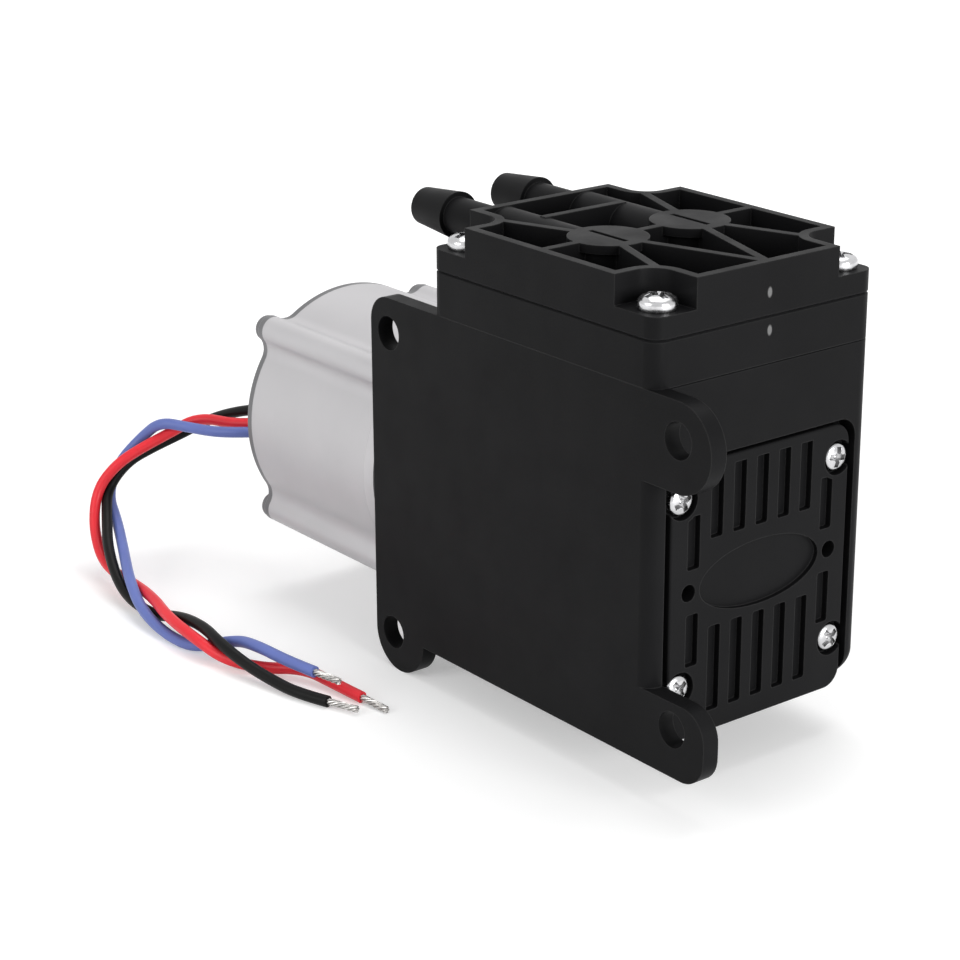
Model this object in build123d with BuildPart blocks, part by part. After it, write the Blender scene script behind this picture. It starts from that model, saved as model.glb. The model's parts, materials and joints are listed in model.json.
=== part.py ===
from build123d import *
from math import cos, pi, radians, sin, tan
import os

os.makedirs("parts", exist_ok=True)

# Electric diaphragm air pump: a moulded crankcase with mounting ears, a valve plate and a
# ribbed head on top, a front cover, and a round motor with three leads behind.
# X runs along the shaft towards the front cover, Y from the mounting face into the body
# and Z up. The origin is on the mounting face, level with the shaft, midway between the
# rear and the front ear holes.

# Clearances and fits, and how near two points count as one place
same_place = 0.01
seat_clearance = 0.05
running_clearance = 0.05
flap_clearance = 0.1
moving_gap = 0.3
screw_clearance = 0.2
motor_plate_gap = 0.5
cover_gap = 1.1
board_gap = 0.8

# Mounting plate and ears
ear_pitch = 66.0
upper_hole_inset = 5.6
rear_hole_drop = 24.3
front_hole_drop = 17.1
ear_hole_radius = 2.7
plate_thickness = 2.8
plate_drop = 24.4
plate_corner_radius = 4.2
rear_edge_margin = 4.5
rear_ear_radius = 6.2
upper_ear_radius = 6.6
lower_ear_height = 11.4
lower_ear_corner_radius = 4.5
lower_ear_reach = 6.6
front_ear_reach = 5.0

# Crankcase
body_length = 50.0
body_width = 42.2
body_drop = 22.6
body_rise = 31.1
body_corner_radius = 2.3
body_foot_radius = 4.8
seam_chamfer = 0.25
side_wall = 5.1
deck_thickness = 6.7
floor_thickness = 3.0
rear_wall = 3.5
neck_step = 4.0

# Front cover
cover_side_margin = 3.75
cover_top_margin = 12.0
cover_thickness = 3.0
cover_corner_radius = 3.0
pocket_foot_radius = 4.3
pocket_dip = 0.5
cover_edge_radius = 0.35
cover_screw_side_inset = 2.2
cover_screw_top_inset = 5.15
cover_screw_foot_inset = 8.05
cover_counterbore_radius = 2.7
cover_counterbore_depth = 1.5
vent_radius = 1.3
vent_inset = 3.5
groove_count = 5
pitches_per_cover = 8
groove_width = 2.3
groove_depth = 1.1
groove_gap = 2.3
groove_top_margin = 1.4
groove_foot_margin = 3.25
side_groove_length = 8.0
side_groove_start = 3.4
oval_share = 0.675
oval_height = 10.0
oval_depth = 0.8

# Diaphragm and valves
throw = 1.5
diaphragm_inset = 3.1
diaphragm_rim = 4.0
diaphragm_thickness = 1.2
web_sag = 0.9
web_width = 5.5
clamp_thickness = 1.5
valve_plate_thickness = 6.8
valve_chamber_radius = 5.8
valve_chamber_depth = 2.1
flap_radius = 3.0
flap_thickness = 0.5
flap_reach = 4.6
flap_tab_width = 3.6
flap_lift = 8.0
valve_port_radius = 1.9
seal_width = 1.4
seal_thickness = 0.8

# Head cover
head_slab_thickness = 3.4
rib_height = 4.5
rib_thickness = 1.3
head_wall = 1.4
crown_drop = 0.15
notch_length = 8.4
notch_width = 7.5
notch_radius = 3.6
head_screw_inset = 3.8
cross_rib_setback = 10.2
port_spacing = 15.8
port_bore_radius = 1.7
channel_radius = 3.5
boss_radius = 6.0
boss_foot_radius = 4.9
boss_cap_thickness = 1.3
slit_length = 8.0
slit_width = 0.9
slit_depth = 0.6
barb_tip_radius = 2.95
barb_radius = 3.7
barb_stem_radius = 2.9
barb_cone_length = 8.3
barb_stem_length = 10.3
barb_mouth_chamfer = 0.4

# Rod, eccentric and shaft
shaft_radius = 2.5
pin_radius = 5.0
hub_radius = 6.5
hub_length = 8.0
shoulder_radius = 5.9
shoulder_length = 0.6
clip_thickness = 0.6
clip_radius = 6.4
pin_tail = 1.0
counterweight_radius = 12.0
counterweight_thickness = 2.4
counterweight_setback = 1.5
rod_bearing_radius = 9.5
rod_bearing_width = 5.0
rod_bearing_race = 1.6
rod_wall = 2.4
rod_width = 8.0
rod_web_thickness = 2.6
rod_head_thickness = 2.0
bearing_radius = 6.5
bearing_width = 4.0
bearing_race = 1.2
shield_recess = 0.3

# Motor
motor_length = 36.3
motor_inset = 0.1
lobe_radius = 2.4
lobe_stand = 1.4
lobe_blend_radius = 3.0
housing_wall = 1.4
rear_cap_thickness = 1.2
bracket_thickness = 2.5
nose_radius = 9.0
nose_bore_radius = 3.4
cup_wall = 1.6
washer_thickness = 0.5
stack_setback = 8.3
stack_front_room = 10.0
stator_ring_share = 1 / 7
stator_bore_share = 0.535
tooth_count = 6
tooth_width = 4.6
shoe_width = 8.4
shoe_thickness = 1.3
coil_build = 2.2
coil_overhang = 2.4
coil_clear_angle = 20
air_gap = 0.8
magnet_thickness = 3.2
magnet_gap = 1.2
board_thickness = 1.2
board_rim_gap = 1.0
board_standoff = 1.5
post_radius = 1.6
post_inset = 4.1
post_count = 3
post_angle = 30
chip_size = 5.0
capacitor_radius = 2.0
board_part_height = 1.3
motor_screw_circle = 12.8

# Screws
m3_radius = 1.5
m3_head_radius = 2.8
m3_head_height = 2.2
m3_recess_fillet = 0.8
m25_radius = 1.25
m25_head_radius = 2.2
m25_head_height = 1.6
m25_head_fillet = 0.7
head_screw_grip = 5.8
cover_screw_grip = 7.0
bolt_hole_margin = 0.1
clamp_screw_grip = 9.0
set_screw_length = 3.6

# Leads
lead_diameter = 1.9
lead_pitch = 2.1
grommet_offset = 11.5
grommet_drop = 2.6
grommet_length = 7.6
grommet_width = 3.8
grommet_flange = 0.8
grommet_lip = 0.7
conductor_diameter = 1.0
conductor_length = 5.5
arc_share = 0.45

# Places that follow from the sizes
shaft_y = body_width / 2
upper_hole_height = body_rise - upper_hole_inset
front_hole_x = ear_pitch / 2
rear_hole_x = -ear_pitch / 2
plate_rear = rear_hole_x - rear_edge_margin
body_front = front_hole_x - front_ear_reach
body_rear = body_front - body_length
body_mid = (body_front + body_rear) / 2
motor_radius = body_width / 2 - motor_inset
lobe_offset = motor_radius + lobe_stand
motor_front = plate_rear - motor_plate_gap
motor_rear = motor_front - motor_length
stack_length = motor_length - stack_setback - stack_front_room
stator_ring = motor_radius * stator_ring_share
cover_back = body_front - cover_thickness
chamber_rear = body_rear + rear_wall
chamber_width = body_width - 2 * side_wall
chamber_rise = body_rise - deck_thickness
cover_width = body_width - 2 * cover_side_margin
cover_rise = body_rise - cover_top_margin
diaphragm_radius = body_width / 2 - diaphragm_inset
diaphragm_bore_radius = diaphragm_radius - diaphragm_rim
clamp_radius = diaphragm_bore_radius - web_width
rest_pin_z = -throw
diaphragm_seat = body_rise - diaphragm_thickness
diaphragm_low = diaphragm_seat - throw
clamp_low = diaphragm_low + diaphragm_thickness
clamp_high = clamp_low + clamp_thickness
valve_roof = clamp_high + 2 * throw + moving_gap
valve_plate_top = body_rise + valve_plate_thickness
slab_top = valve_plate_top + head_slab_thickness
rib_top = slab_top + rib_height
port_z = rib_top - channel_radius - crown_drop
port_ys = [shaft_y - port_spacing / 2, shaft_y + port_spacing / 2]
inlet_y, outlet_y = port_ys
flap_travel = (flap_radius + flap_reach) * sin(radians(flap_lift))
bearing_bore_radius = bearing_radius + seat_clearance
m3_pilot_radius = m3_radius + seat_clearance
m3_clear_radius = m3_radius + screw_clearance
m25_pilot_radius = m25_radius + seat_clearance
head_screw_xs = [body_rear + head_screw_inset, body_front - head_screw_inset]
head_screw_ys = [head_screw_inset, body_width - head_screw_inset]
screw_points = [(x, y) for x in head_screw_xs for y in head_screw_ys]
cover_screw_reach = cover_width / 2 - cover_screw_side_inset
cover_screw_zs = [cover_screw_foot_inset - body_drop, cover_rise - cover_screw_top_inset]
cover_screw_points = [(shaft_y + side * cover_screw_reach, z) for side in (-1, 1) for z in cover_screw_zs]
lobe_angles = [45 + 90 * quarter for quarter in range(4)]
bolt_points = [
    (shaft_y + lobe_offset * cos(radians(a)), lobe_offset * sin(radians(a))) for a in lobe_angles
]
motor_screw_points = [
    (shaft_y + motor_screw_circle * cos(radians(a)), motor_screw_circle * sin(radians(a)))
    for a in lobe_angles
]


def tube_along_shaft(outer, inner, start, length, center=(shaft_y, 0)):
    """A round tube along X, from start forwards."""
    with BuildPart() as tube:
        with BuildSketch(Plane.YZ.offset(start)):
            with Locations(center):
                Circle(outer)
                Circle(inner, mode=Mode.SUBTRACT)
        extrude(amount=length)
    return tube


def shielded_outer_ring(outer, inner, race, start, length, center=(shaft_y, 0)):
    """The outer ring of a bearing, with its two shields down to the inner ring."""
    with BuildPart() as ring:
        with BuildSketch(Plane.YZ.offset(start)):
            with Locations(center):
                Circle(outer)
                Circle(outer - race, mode=Mode.SUBTRACT)
        extrude(amount=length)
        with BuildSketch(Plane.YZ.offset(start + shield_recess)):
            with Locations(center):
                Circle(outer - race)
                Circle(inner + race + moving_gap, mode=Mode.SUBTRACT)
        extrude(amount=length - 2 * shield_recess)
    return ring


def pan_screws(plane, points, head_radius, head_height, edge, shank_radius, shank_length):
    """Screws with their heads on the plane and their shanks below it."""
    with BuildPart() as screws:
        with BuildSketch(plane):
            with Locations(*points):
                Circle(head_radius)
        extrude(amount=head_height)
        fillet(screws.faces().filter_by(Plane(plane.origin, z_dir=plane.z_dir)).sort_by(
            Axis(plane.origin, plane.z_dir))[-len(points):].edges(), radius=edge)
        with BuildSketch(plane):
            with Locations(*points):
                Circle(shank_radius)
        extrude(amount=-shank_length)
    return screws


# Crankcase with its mounting plate, ears and motor neck
with BuildPart() as crankcase:
    with BuildSketch(Plane.XY.offset(-body_drop)):
        with Locations((body_mid, body_width / 2)):
            RectangleRounded(body_length, body_width, body_corner_radius)
    extrude(amount=body_drop + body_rise)
    # Its lower far edge is rounded
    far_foot = crankcase.faces().sort_by(Axis.Z)[0].edges().sort_by(Axis.Y)[-1]
    fillet(far_foot, radius=body_foot_radius)
    chamfer(crankcase.faces().sort_by(Axis.Z)[-1].edges(), length=seam_chamfer)
    # Mounting plate
    with BuildSketch(Plane.XZ) as plate_outline:
        with Locations((plate_rear, -plate_drop)):
            Rectangle(body_front - body_corner_radius - plate_rear, plate_drop + body_rise,
                      align=(Align.MIN, Align.MIN))
        fillet(plate_outline.vertices().sort_by(Axis.X)[:2].sort_by(Axis.Y)[-1], radius=plate_corner_radius)
        with Locations((plate_rear + rear_ear_radius, -rear_hole_drop)):
            Circle(rear_ear_radius)
        upper_ear_z = body_rise - upper_ear_radius
        root_x = body_front - body_corner_radius - plate_thickness
        with Locations((front_hole_x, upper_ear_z)):
            Circle(upper_ear_radius)
        with Locations((root_x, upper_ear_z)):
            Rectangle(front_hole_x - root_x, 2 * upper_ear_radius, align=(Align.MIN, Align.CENTER))
        with Locations((rear_hole_x, upper_hole_height), (rear_hole_x, -rear_hole_drop),
                       (front_hole_x, upper_hole_height)):
            Circle(ear_hole_radius, mode=Mode.SUBTRACT)
    extrude(amount=-plate_thickness)
    # Lower front ear, squarer than the upper one
    with BuildSketch(Plane.XZ) as lower_ear:
        with Locations((root_x, -plate_drop)):
            Rectangle(front_hole_x + lower_ear_reach - root_x, lower_ear_height, align=(Align.MIN, Align.MIN))
        fillet(lower_ear.vertices().sort_by(Axis.X)[-2:], radius=lower_ear_corner_radius)
        with Locations((front_hole_x, -front_hole_drop)):
            Circle(ear_hole_radius, mode=Mode.SUBTRACT)
    extrude(amount=-plate_thickness)
    # Motor neck
    with BuildSketch(Plane.YZ.offset(motor_front)):
        with Locations((shaft_y, 0)):
            Circle(motor_radius - neck_step)
    extrude(amount=body_rear - motor_front)
    # Pocket for the front cover: open at the bottom, where its sides close in on the cover
    with BuildSketch(Plane.YZ.offset(body_front)) as pocket:
        with Locations((shaft_y, -body_drop - pocket_dip)):
            Rectangle(cover_width + 2 * cover_gap, pocket_dip + body_drop + cover_rise + cover_gap / 2,
                      align=(Align.CENTER, Align.MIN))
        fillet(pocket.vertices().sort_by(Axis.Y)[-2:], radius=cover_corner_radius)
        fillet(pocket.vertices().sort_by(Axis.Y)[:2], radius=pocket_foot_radius)
    extrude(amount=-cover_thickness, mode=Mode.SUBTRACT)
    # Crank chamber, with corner posts for the cover screws
    with BuildSketch(Plane.YZ.offset(cover_back)):
        with Locations((shaft_y, -body_drop + floor_thickness)):
            Rectangle(chamber_width, body_drop - floor_thickness + chamber_rise,
                      align=(Align.CENTER, Align.MIN))
        with Locations(*cover_screw_points):
            Circle(cover_counterbore_radius, mode=Mode.SUBTRACT)
    extrude(amount=-(cover_back - chamber_rear), mode=Mode.SUBTRACT)
    # Diaphragm bore and seat
    with BuildSketch(Plane.XY.offset(body_rise)):
        with Locations((body_mid, shaft_y)):
            Circle(diaphragm_bore_radius)
    extrude(amount=-(body_rise - chamber_rise), mode=Mode.SUBTRACT)
    with BuildSketch(Plane.XY.offset(body_rise)):
        with Locations((body_mid, shaft_y)):
            Circle(diaphragm_radius + seat_clearance)
    extrude(amount=-diaphragm_thickness, mode=Mode.SUBTRACT)
    # Bore for the motor's nose, and the motor screws' holes
    with BuildSketch(Plane.YZ.offset(chamber_rear)):
        with Locations((shaft_y, 0)):
            Circle(nose_radius + seat_clearance)
        with Locations(*motor_screw_points):
            Circle(m3_clear_radius)
    extrude(amount=-(chamber_rear - motor_front), mode=Mode.SUBTRACT)
    # Pilot holes of the head screws and the cover screws
    with BuildSketch(Plane.XY.offset(body_rise)):
        with Locations(*screw_points):
            Circle(m3_pilot_radius)
    extrude(amount=-(head_screw_grip + seat_clearance), mode=Mode.SUBTRACT)
    with BuildSketch(Plane.YZ.offset(cover_back)):
        with Locations(*cover_screw_points):
            Circle(m25_pilot_radius)
    extrude(amount=-(cover_screw_grip + seat_clearance), mode=Mode.SUBTRACT)
crankcase.part.label = "crankcase"
export_step(crankcase.part, "parts/crankcase.step")

# Front cover with blind grooves, a sunk oval and counterbored screw holes
with BuildPart() as front_cover:
    with BuildSketch(Plane.YZ.offset(cover_back)) as cover_outline:
        with Locations((shaft_y, -body_drop)):
            Rectangle(cover_width, body_drop + cover_rise, align=(Align.CENTER, Align.MIN))
        fillet(cover_outline.vertices(), radius=cover_corner_radius)
    extrude(amount=cover_thickness)
    fillet(front_cover.faces().sort_by(Axis.X)[-1].edges(), radius=cover_edge_radius)
    with BuildSketch(Plane.YZ.offset(body_front)):
        with Locations((shaft_y, 0)):
            Ellipse(cover_width * oval_share / 2, oval_height / 2)
    extrude(amount=-oval_depth, mode=Mode.SUBTRACT)
    groove_pitch = cover_width / pitches_per_cover
    side_groove_offset = groove_pitch * (groove_count + 1) / 2
    upper_groove_z = oval_height / 2 + groove_gap
    lower_groove_z = -oval_height / 2 - groove_gap / 2
    upper_groove_length = cover_rise - groove_top_margin - upper_groove_z
    lower_groove_length = lower_groove_z + body_drop - groove_foot_margin
    with BuildSketch(Plane.YZ.offset(body_front)) as grooves:
        with Locations((shaft_y, upper_groove_z + upper_groove_length / 2)):
            with GridLocations(groove_pitch, upper_groove_length, groove_count, 1):
                Rectangle(groove_width, upper_groove_length)
        with Locations((shaft_y, lower_groove_z - lower_groove_length / 2)):
            with GridLocations(groove_pitch, lower_groove_length, groove_count, 1):
                Rectangle(groove_width, lower_groove_length)
        for side in (-1, 1):
            for up in (-1, 1):
                with Locations((shaft_y + side * side_groove_offset,
                                up * (side_groove_start + side_groove_length / 2))):
                    Rectangle(groove_width, side_groove_length)
        with Locations(*cover_screw_points):
            Circle(cover_counterbore_radius + groove_gap / 4, mode=Mode.SUBTRACT)
        rounded_ends = grooves.vertices().filter_by(lambda v: v.Y < upper_groove_z + same_place)
        fillet(rounded_ends, radius=groove_width / 6)
    extrude(amount=-groove_depth, mode=Mode.SUBTRACT)
    with BuildSketch(Plane.YZ.offset(body_front)):
        with Locations(*cover_screw_points):
            Circle(cover_counterbore_radius)
    extrude(amount=-cover_counterbore_depth, mode=Mode.SUBTRACT)
    with BuildSketch(Plane.YZ.offset(body_front)):
        with Locations(*cover_screw_points):
            Circle(m25_radius + screw_clearance)
        with Locations((shaft_y, 0)):
            with GridLocations(cover_width - 2 * vent_inset, vent_radius, 2, 1):
                Circle(vent_radius)
    extrude(amount=-cover_thickness, mode=Mode.SUBTRACT)
front_cover.part.label = "front_cover"
export_step(front_cover.part, "parts/front_cover.step")

front_cover_screws = pan_screws(
    Plane.YZ.offset(body_front - cover_counterbore_depth), cover_screw_points,
    m25_head_radius, m25_head_height, m25_head_fillet, m25_radius,
    cover_thickness - cover_counterbore_depth + cover_screw_grip)
front_cover_screws.part.label = "front_cover_screws"
export_step(front_cover_screws.part, "parts/front_cover_screws.step")

# Valve plate between the crankcase and the head
with BuildPart() as valve_plate:
    with BuildSketch(Plane.XY.offset(body_rise)):
        with Locations((body_mid, body_width / 2)):
            RectangleRounded(body_length, body_width, body_corner_radius)
    extrude(amount=valve_plate_thickness)
    chamfer(valve_plate.faces().sort_by(Axis.Z)[-1].edges(), length=seam_chamfer)
    with BuildSketch(Plane.XY.offset(body_rise)):
        with Locations((body_mid, shaft_y)):
            Circle(diaphragm_bore_radius)
    extrude(amount=valve_roof - body_rise, mode=Mode.SUBTRACT)
    # Pocket of the inlet flap, in the chamber's roof
    with BuildSketch(Plane.XY.offset(valve_roof)):
        with Locations((body_mid, inlet_y)):
            Circle(flap_radius + moving_gap)
        with Locations((body_mid, inlet_y)):
            Rectangle(flap_reach + moving_gap, flap_tab_width + 2 * moving_gap,
                      align=(Align.MIN, Align.CENTER))
    inlet_pocket_depth = flap_clearance + flap_thickness + flap_travel + moving_gap
    extrude(amount=inlet_pocket_depth, mode=Mode.SUBTRACT)
    # Ports, seal grooves and screw holes
    with BuildSketch(Plane.XY.offset(body_rise)):
        with Locations((body_mid, inlet_y), (body_mid, outlet_y)):
            Circle(valve_port_radius)
        with Locations(*screw_points):
            Circle(m3_clear_radius)
    extrude(amount=valve_plate_thickness, mode=Mode.SUBTRACT)
    with BuildSketch(Plane.XY.offset(valve_plate_top)):
        for port_y in port_ys:
            with Locations((body_mid, port_y)):
                Circle(valve_chamber_radius + seal_width + seat_clearance)
        for port_y in port_ys:
            with Locations((body_mid, port_y)):
                Circle(valve_chamber_radius - seat_clearance, mode=Mode.SUBTRACT)
    extrude(amount=-seal_thickness, mode=Mode.SUBTRACT)
valve_plate.part.label = "valve_plate"
export_step(valve_plate.part, "parts/valve_plate.step")

# One sealing ring round each valve chamber
with BuildPart() as port_seals:
    with BuildSketch(Plane.XY.offset(valve_plate_top - seal_thickness)):
        for port_y in port_ys:
            with Locations((body_mid, port_y)):
                Circle(valve_chamber_radius + seal_width)
        for port_y in port_ys:
            with Locations((body_mid, port_y)):
                Circle(valve_chamber_radius, mode=Mode.SUBTRACT)
    extrude(amount=seal_thickness)
port_seals.part.label = "port_seals"
export_step(port_seals.part, "parts/port_seals.step")

# Valve flaps: a disc over the port, and a tab to the edge that it bends about
inlet_flap_top = valve_roof + inlet_pocket_depth - flap_clearance
outlet_flap_low = valve_plate_top + flap_clearance
flap_hinge_x = body_mid + flap_reach
with BuildPart() as inlet_flap:
    with BuildSketch(Plane.XY.offset(inlet_flap_top)):
        with Locations((body_mid, inlet_y)):
            Circle(flap_radius)
            Rectangle(flap_reach, flap_tab_width, align=(Align.MIN, Align.CENTER))
    extrude(amount=-flap_thickness)
inlet_flap.part.label = "inlet_flap"
export_step(inlet_flap.part, "parts/inlet_flap.step")

with BuildPart() as outlet_flap:
    with BuildSketch(Plane.XY.offset(outlet_flap_low)):
        with Locations((body_mid, outlet_y)):
            Circle(flap_radius)
            Rectangle(flap_reach, flap_tab_width, align=(Align.MIN, Align.CENTER))
    extrude(amount=flap_thickness)
outlet_flap.part.label = "outlet_flap"
export_step(outlet_flap.part, "parts/outlet_flap.step")

# Head cover: slab, notched rim, ribs, two bosses with channels, and two hose barbs
head_rear = body_mid - body_length / 2
head_front = body_mid + body_length / 2
notch_corner_x = body_length / 2 - notch_length
notch_corner_y = body_width / 2 - notch_width
with BuildPart() as head_cover:
    with BuildSketch(Plane.XY.offset(valve_plate_top)):
        with Locations((body_mid, body_width / 2)):
            RectangleRounded(body_length, body_width, body_corner_radius)
    extrude(amount=head_slab_thickness)
    chamfer(head_cover.faces().sort_by(Axis.Z)[0].edges(), length=seam_chamfer)
    with BuildSketch(Plane.XY.offset(slab_top)) as rim:
        with Locations((body_mid, body_width / 2)):
            RectangleRounded(body_length, body_width, body_corner_radius)
        with Locations((body_mid, body_width / 2)):
            with GridLocations(body_length, body_width, 2, 2):
                Rectangle(2 * notch_length, 2 * notch_width, mode=Mode.SUBTRACT)
        inner_corners = rim.vertices().filter_by(
            lambda v: abs(abs(v.X - body_mid) - notch_corner_x) < same_place
            and abs(abs(v.Y - body_width / 2) - notch_corner_y) < same_place)
        fillet(inner_corners, radius=notch_radius)
        offset(amount=-head_wall, kind=Kind.INTERSECTION, mode=Mode.SUBTRACT)
    extrude(amount=rib_height)
    # Ribs, as lines on the slab from point to point
    near_y, far_y = port_ys
    cross_rib_x = head_rear + cross_rib_setback
    front_mid = (head_front - head_wall / 2, shaft_y)
    notch_in = notch_radius * (1 - 1 / 2 ** 0.5)
    near_notches = [(body_mid + side * (notch_corner_x + notch_in - head_wall / 2),
                     body_width / 2 - notch_corner_y - notch_in + head_wall / 2) for side in (-1, 1)]
    far_notches = [(x, body_width - y) for x, y in near_notches]
    near_boss = (body_mid, near_y)
    far_boss = (body_mid, far_y)
    rib_lines = [((cross_rib_x, near_y), (cross_rib_x, far_y)), (near_boss, far_boss),
                 (near_boss, (body_mid, head_wall / 2)), (far_boss, (body_mid, body_width - head_wall / 2)),
                 (near_boss, front_mid), (far_boss, front_mid)]
    rib_lines += [(near_boss, corner) for corner in near_notches]
    rib_lines += [(far_boss, corner) for corner in far_notches]
    with BuildSketch(Plane.XY.offset(slab_top)):
        for start, end in rib_lines:
            with BuildLine():
                rib_line = Line(start, end)
            with Locations(rib_line @ 0.5):
                Rectangle(rib_line.length, rib_thickness,
                          rotation=rib_line.tangent_angle_at(0))
    extrude(amount=rib_height)
    # Bosses with a waist under their caps
    with BuildSketch(Plane.XY.offset(slab_top)):
        with Locations((body_mid, near_y), (body_mid, far_y)):
            Circle(boss_foot_radius)
    extrude(amount=rib_height)
    with BuildSketch(Plane.XY.offset(rib_top)):
        with Locations((body_mid, near_y), (body_mid, far_y)):
            Circle(boss_radius)
    extrude(amount=-boss_cap_thickness)
    # Channels from the bosses to the rear, and the barbs behind them
    with BuildSketch(Plane.YZ.offset(head_rear)):
        with Locations((near_y, port_z), (far_y, port_z)):
            Circle(channel_radius)
    extrude(amount=body_length / 2)
    barb_tip = head_rear - barb_stem_length - barb_cone_length
    for port_y in port_ys:
        with BuildSketch(Plane((0, port_y, port_z), x_dir=(1, 0, 0), z_dir=(0, -1, 0))):
            with BuildLine():
                Polyline((barb_tip, 0), (barb_tip, barb_tip_radius),
                         (barb_tip + barb_cone_length, barb_radius),
                         (barb_tip + barb_cone_length, barb_stem_radius),
                         (head_rear + head_wall, barb_stem_radius), (head_rear + head_wall, 0), close=True)
            make_face()
        revolve(axis=Axis((0, port_y, port_z), (1, 0, 0)))
    # Air passages
    with BuildSketch(Plane.YZ.offset(barb_tip)):
        with Locations((near_y, port_z), (far_y, port_z)):
            Circle(port_bore_radius)
    extrude(amount=body_mid - barb_tip, mode=Mode.SUBTRACT)
    with BuildSketch(Plane.XY.offset(valve_plate_top)):
        with Locations((body_mid, near_y), (body_mid, far_y)):
            Circle(valve_chamber_radius)
    extrude(amount=valve_chamber_depth, mode=Mode.SUBTRACT)
    with BuildSketch(Plane.XY.offset(valve_plate_top)):
        with Locations((body_mid, near_y), (body_mid, far_y)):
            Circle(valve_port_radius)
    extrude(amount=port_z + port_bore_radius / 2 - valve_plate_top, mode=Mode.SUBTRACT)
    # Slits in the caps, and screw holes
    with BuildSketch(Plane.XY.offset(rib_top)):
        with Locations((body_mid, near_y), (body_mid, far_y)):
            Rectangle(slit_length, slit_width)
    extrude(amount=-slit_depth, mode=Mode.SUBTRACT)
    with BuildSketch(Plane.XY.offset(slab_top)):
        with Locations(*screw_points):
            Circle(m3_clear_radius)
    extrude(amount=-head_slab_thickness, mode=Mode.SUBTRACT)
head_cover.part.label = "head_cover"
export_step(head_cover.part, "parts/head_cover.step")

head_screws = pan_screws(
    Plane.XY.offset(slab_top), screw_points, m3_head_radius, m3_head_height, m3_recess_fillet,
    m3_radius, head_slab_thickness + valve_plate_thickness + head_screw_grip)
head_screws.part.label = "head_screws"
export_step(head_screws.part, "parts/head_screws.step")

# Diaphragm at the bottom of its stroke: clamped rim, sagging web and flat centre
with BuildPart() as diaphragm:
    with BuildSketch(Plane.XZ.offset(-shaft_y)):
        with BuildLine():
            web_inner = clamp_radius + moving_gap
            web_outer = diaphragm_bore_radius - moving_gap
            web_middle = (web_inner + web_outer) / 2
            Line((body_mid, diaphragm_low), (body_mid + web_inner, diaphragm_low))
            ThreePointArc((body_mid + web_inner, diaphragm_low),
                          (body_mid + web_middle, diaphragm_low + throw / 2 - web_sag),
                          (body_mid + web_outer, diaphragm_seat))
            Line((body_mid + web_outer, diaphragm_seat), (body_mid + diaphragm_radius, diaphragm_seat))
            Line((body_mid + diaphragm_radius, diaphragm_seat), (body_mid + diaphragm_radius, body_rise))
            Line((body_mid + diaphragm_radius, body_rise), (body_mid + web_outer, body_rise))
            ThreePointArc((body_mid + web_outer, body_rise),
                          (body_mid + web_middle, clamp_low + throw / 2 - web_sag),
                          (body_mid + web_inner, clamp_low))
            Line((body_mid + web_inner, clamp_low), (body_mid, clamp_low))
            Line((body_mid, clamp_low), (body_mid, diaphragm_low))
        make_face()
    revolve(axis=Axis((body_mid, shaft_y, 0), (0, 0, 1)))
    with BuildSketch(Plane.XY.offset(diaphragm_low)):
        with Locations((body_mid, shaft_y)):
            Circle(m3_radius + seat_clearance)
    extrude(amount=diaphragm_thickness, mode=Mode.SUBTRACT)
diaphragm.part.label = "diaphragm"
export_step(diaphragm.part, "parts/diaphragm.step")

with BuildPart() as diaphragm_clamp:
    with BuildSketch(Plane.XY.offset(clamp_low)):
        with Locations((body_mid, shaft_y)):
            Circle(clamp_radius)
    extrude(amount=clamp_thickness)
    fillet(diaphragm_clamp.edges(), radius=clamp_thickness / 4)
    with Locations(Plane((body_mid, shaft_y, clamp_high))):
        CounterSinkHole(m3_radius + seat_clearance, m3_head_radius + seat_clearance)
diaphragm_clamp.part.label = "diaphragm_clamp"
export_step(diaphragm_clamp.part, "parts/diaphragm_clamp.step")

# Countersunk screw that holds the diaphragm on the rod
with BuildPart() as clamp_screw:
    with BuildSketch(Plane.XZ.offset(-shaft_y)):
        with BuildLine():
            cone_height = m3_head_radius - m3_radius
            Polyline((body_mid, clamp_high), (body_mid + m3_head_radius, clamp_high),
                     (body_mid + m3_radius, clamp_high - cone_height),
                     (body_mid + m3_radius, clamp_high - clamp_screw_grip),
                     (body_mid, clamp_high - clamp_screw_grip), close=True)
        make_face()
    revolve(axis=Axis((body_mid, shaft_y, 0), (0, 0, 1)))
clamp_screw.part.label = "clamp_screw"
export_step(clamp_screw.part, "parts/clamp_screw.step")

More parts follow.
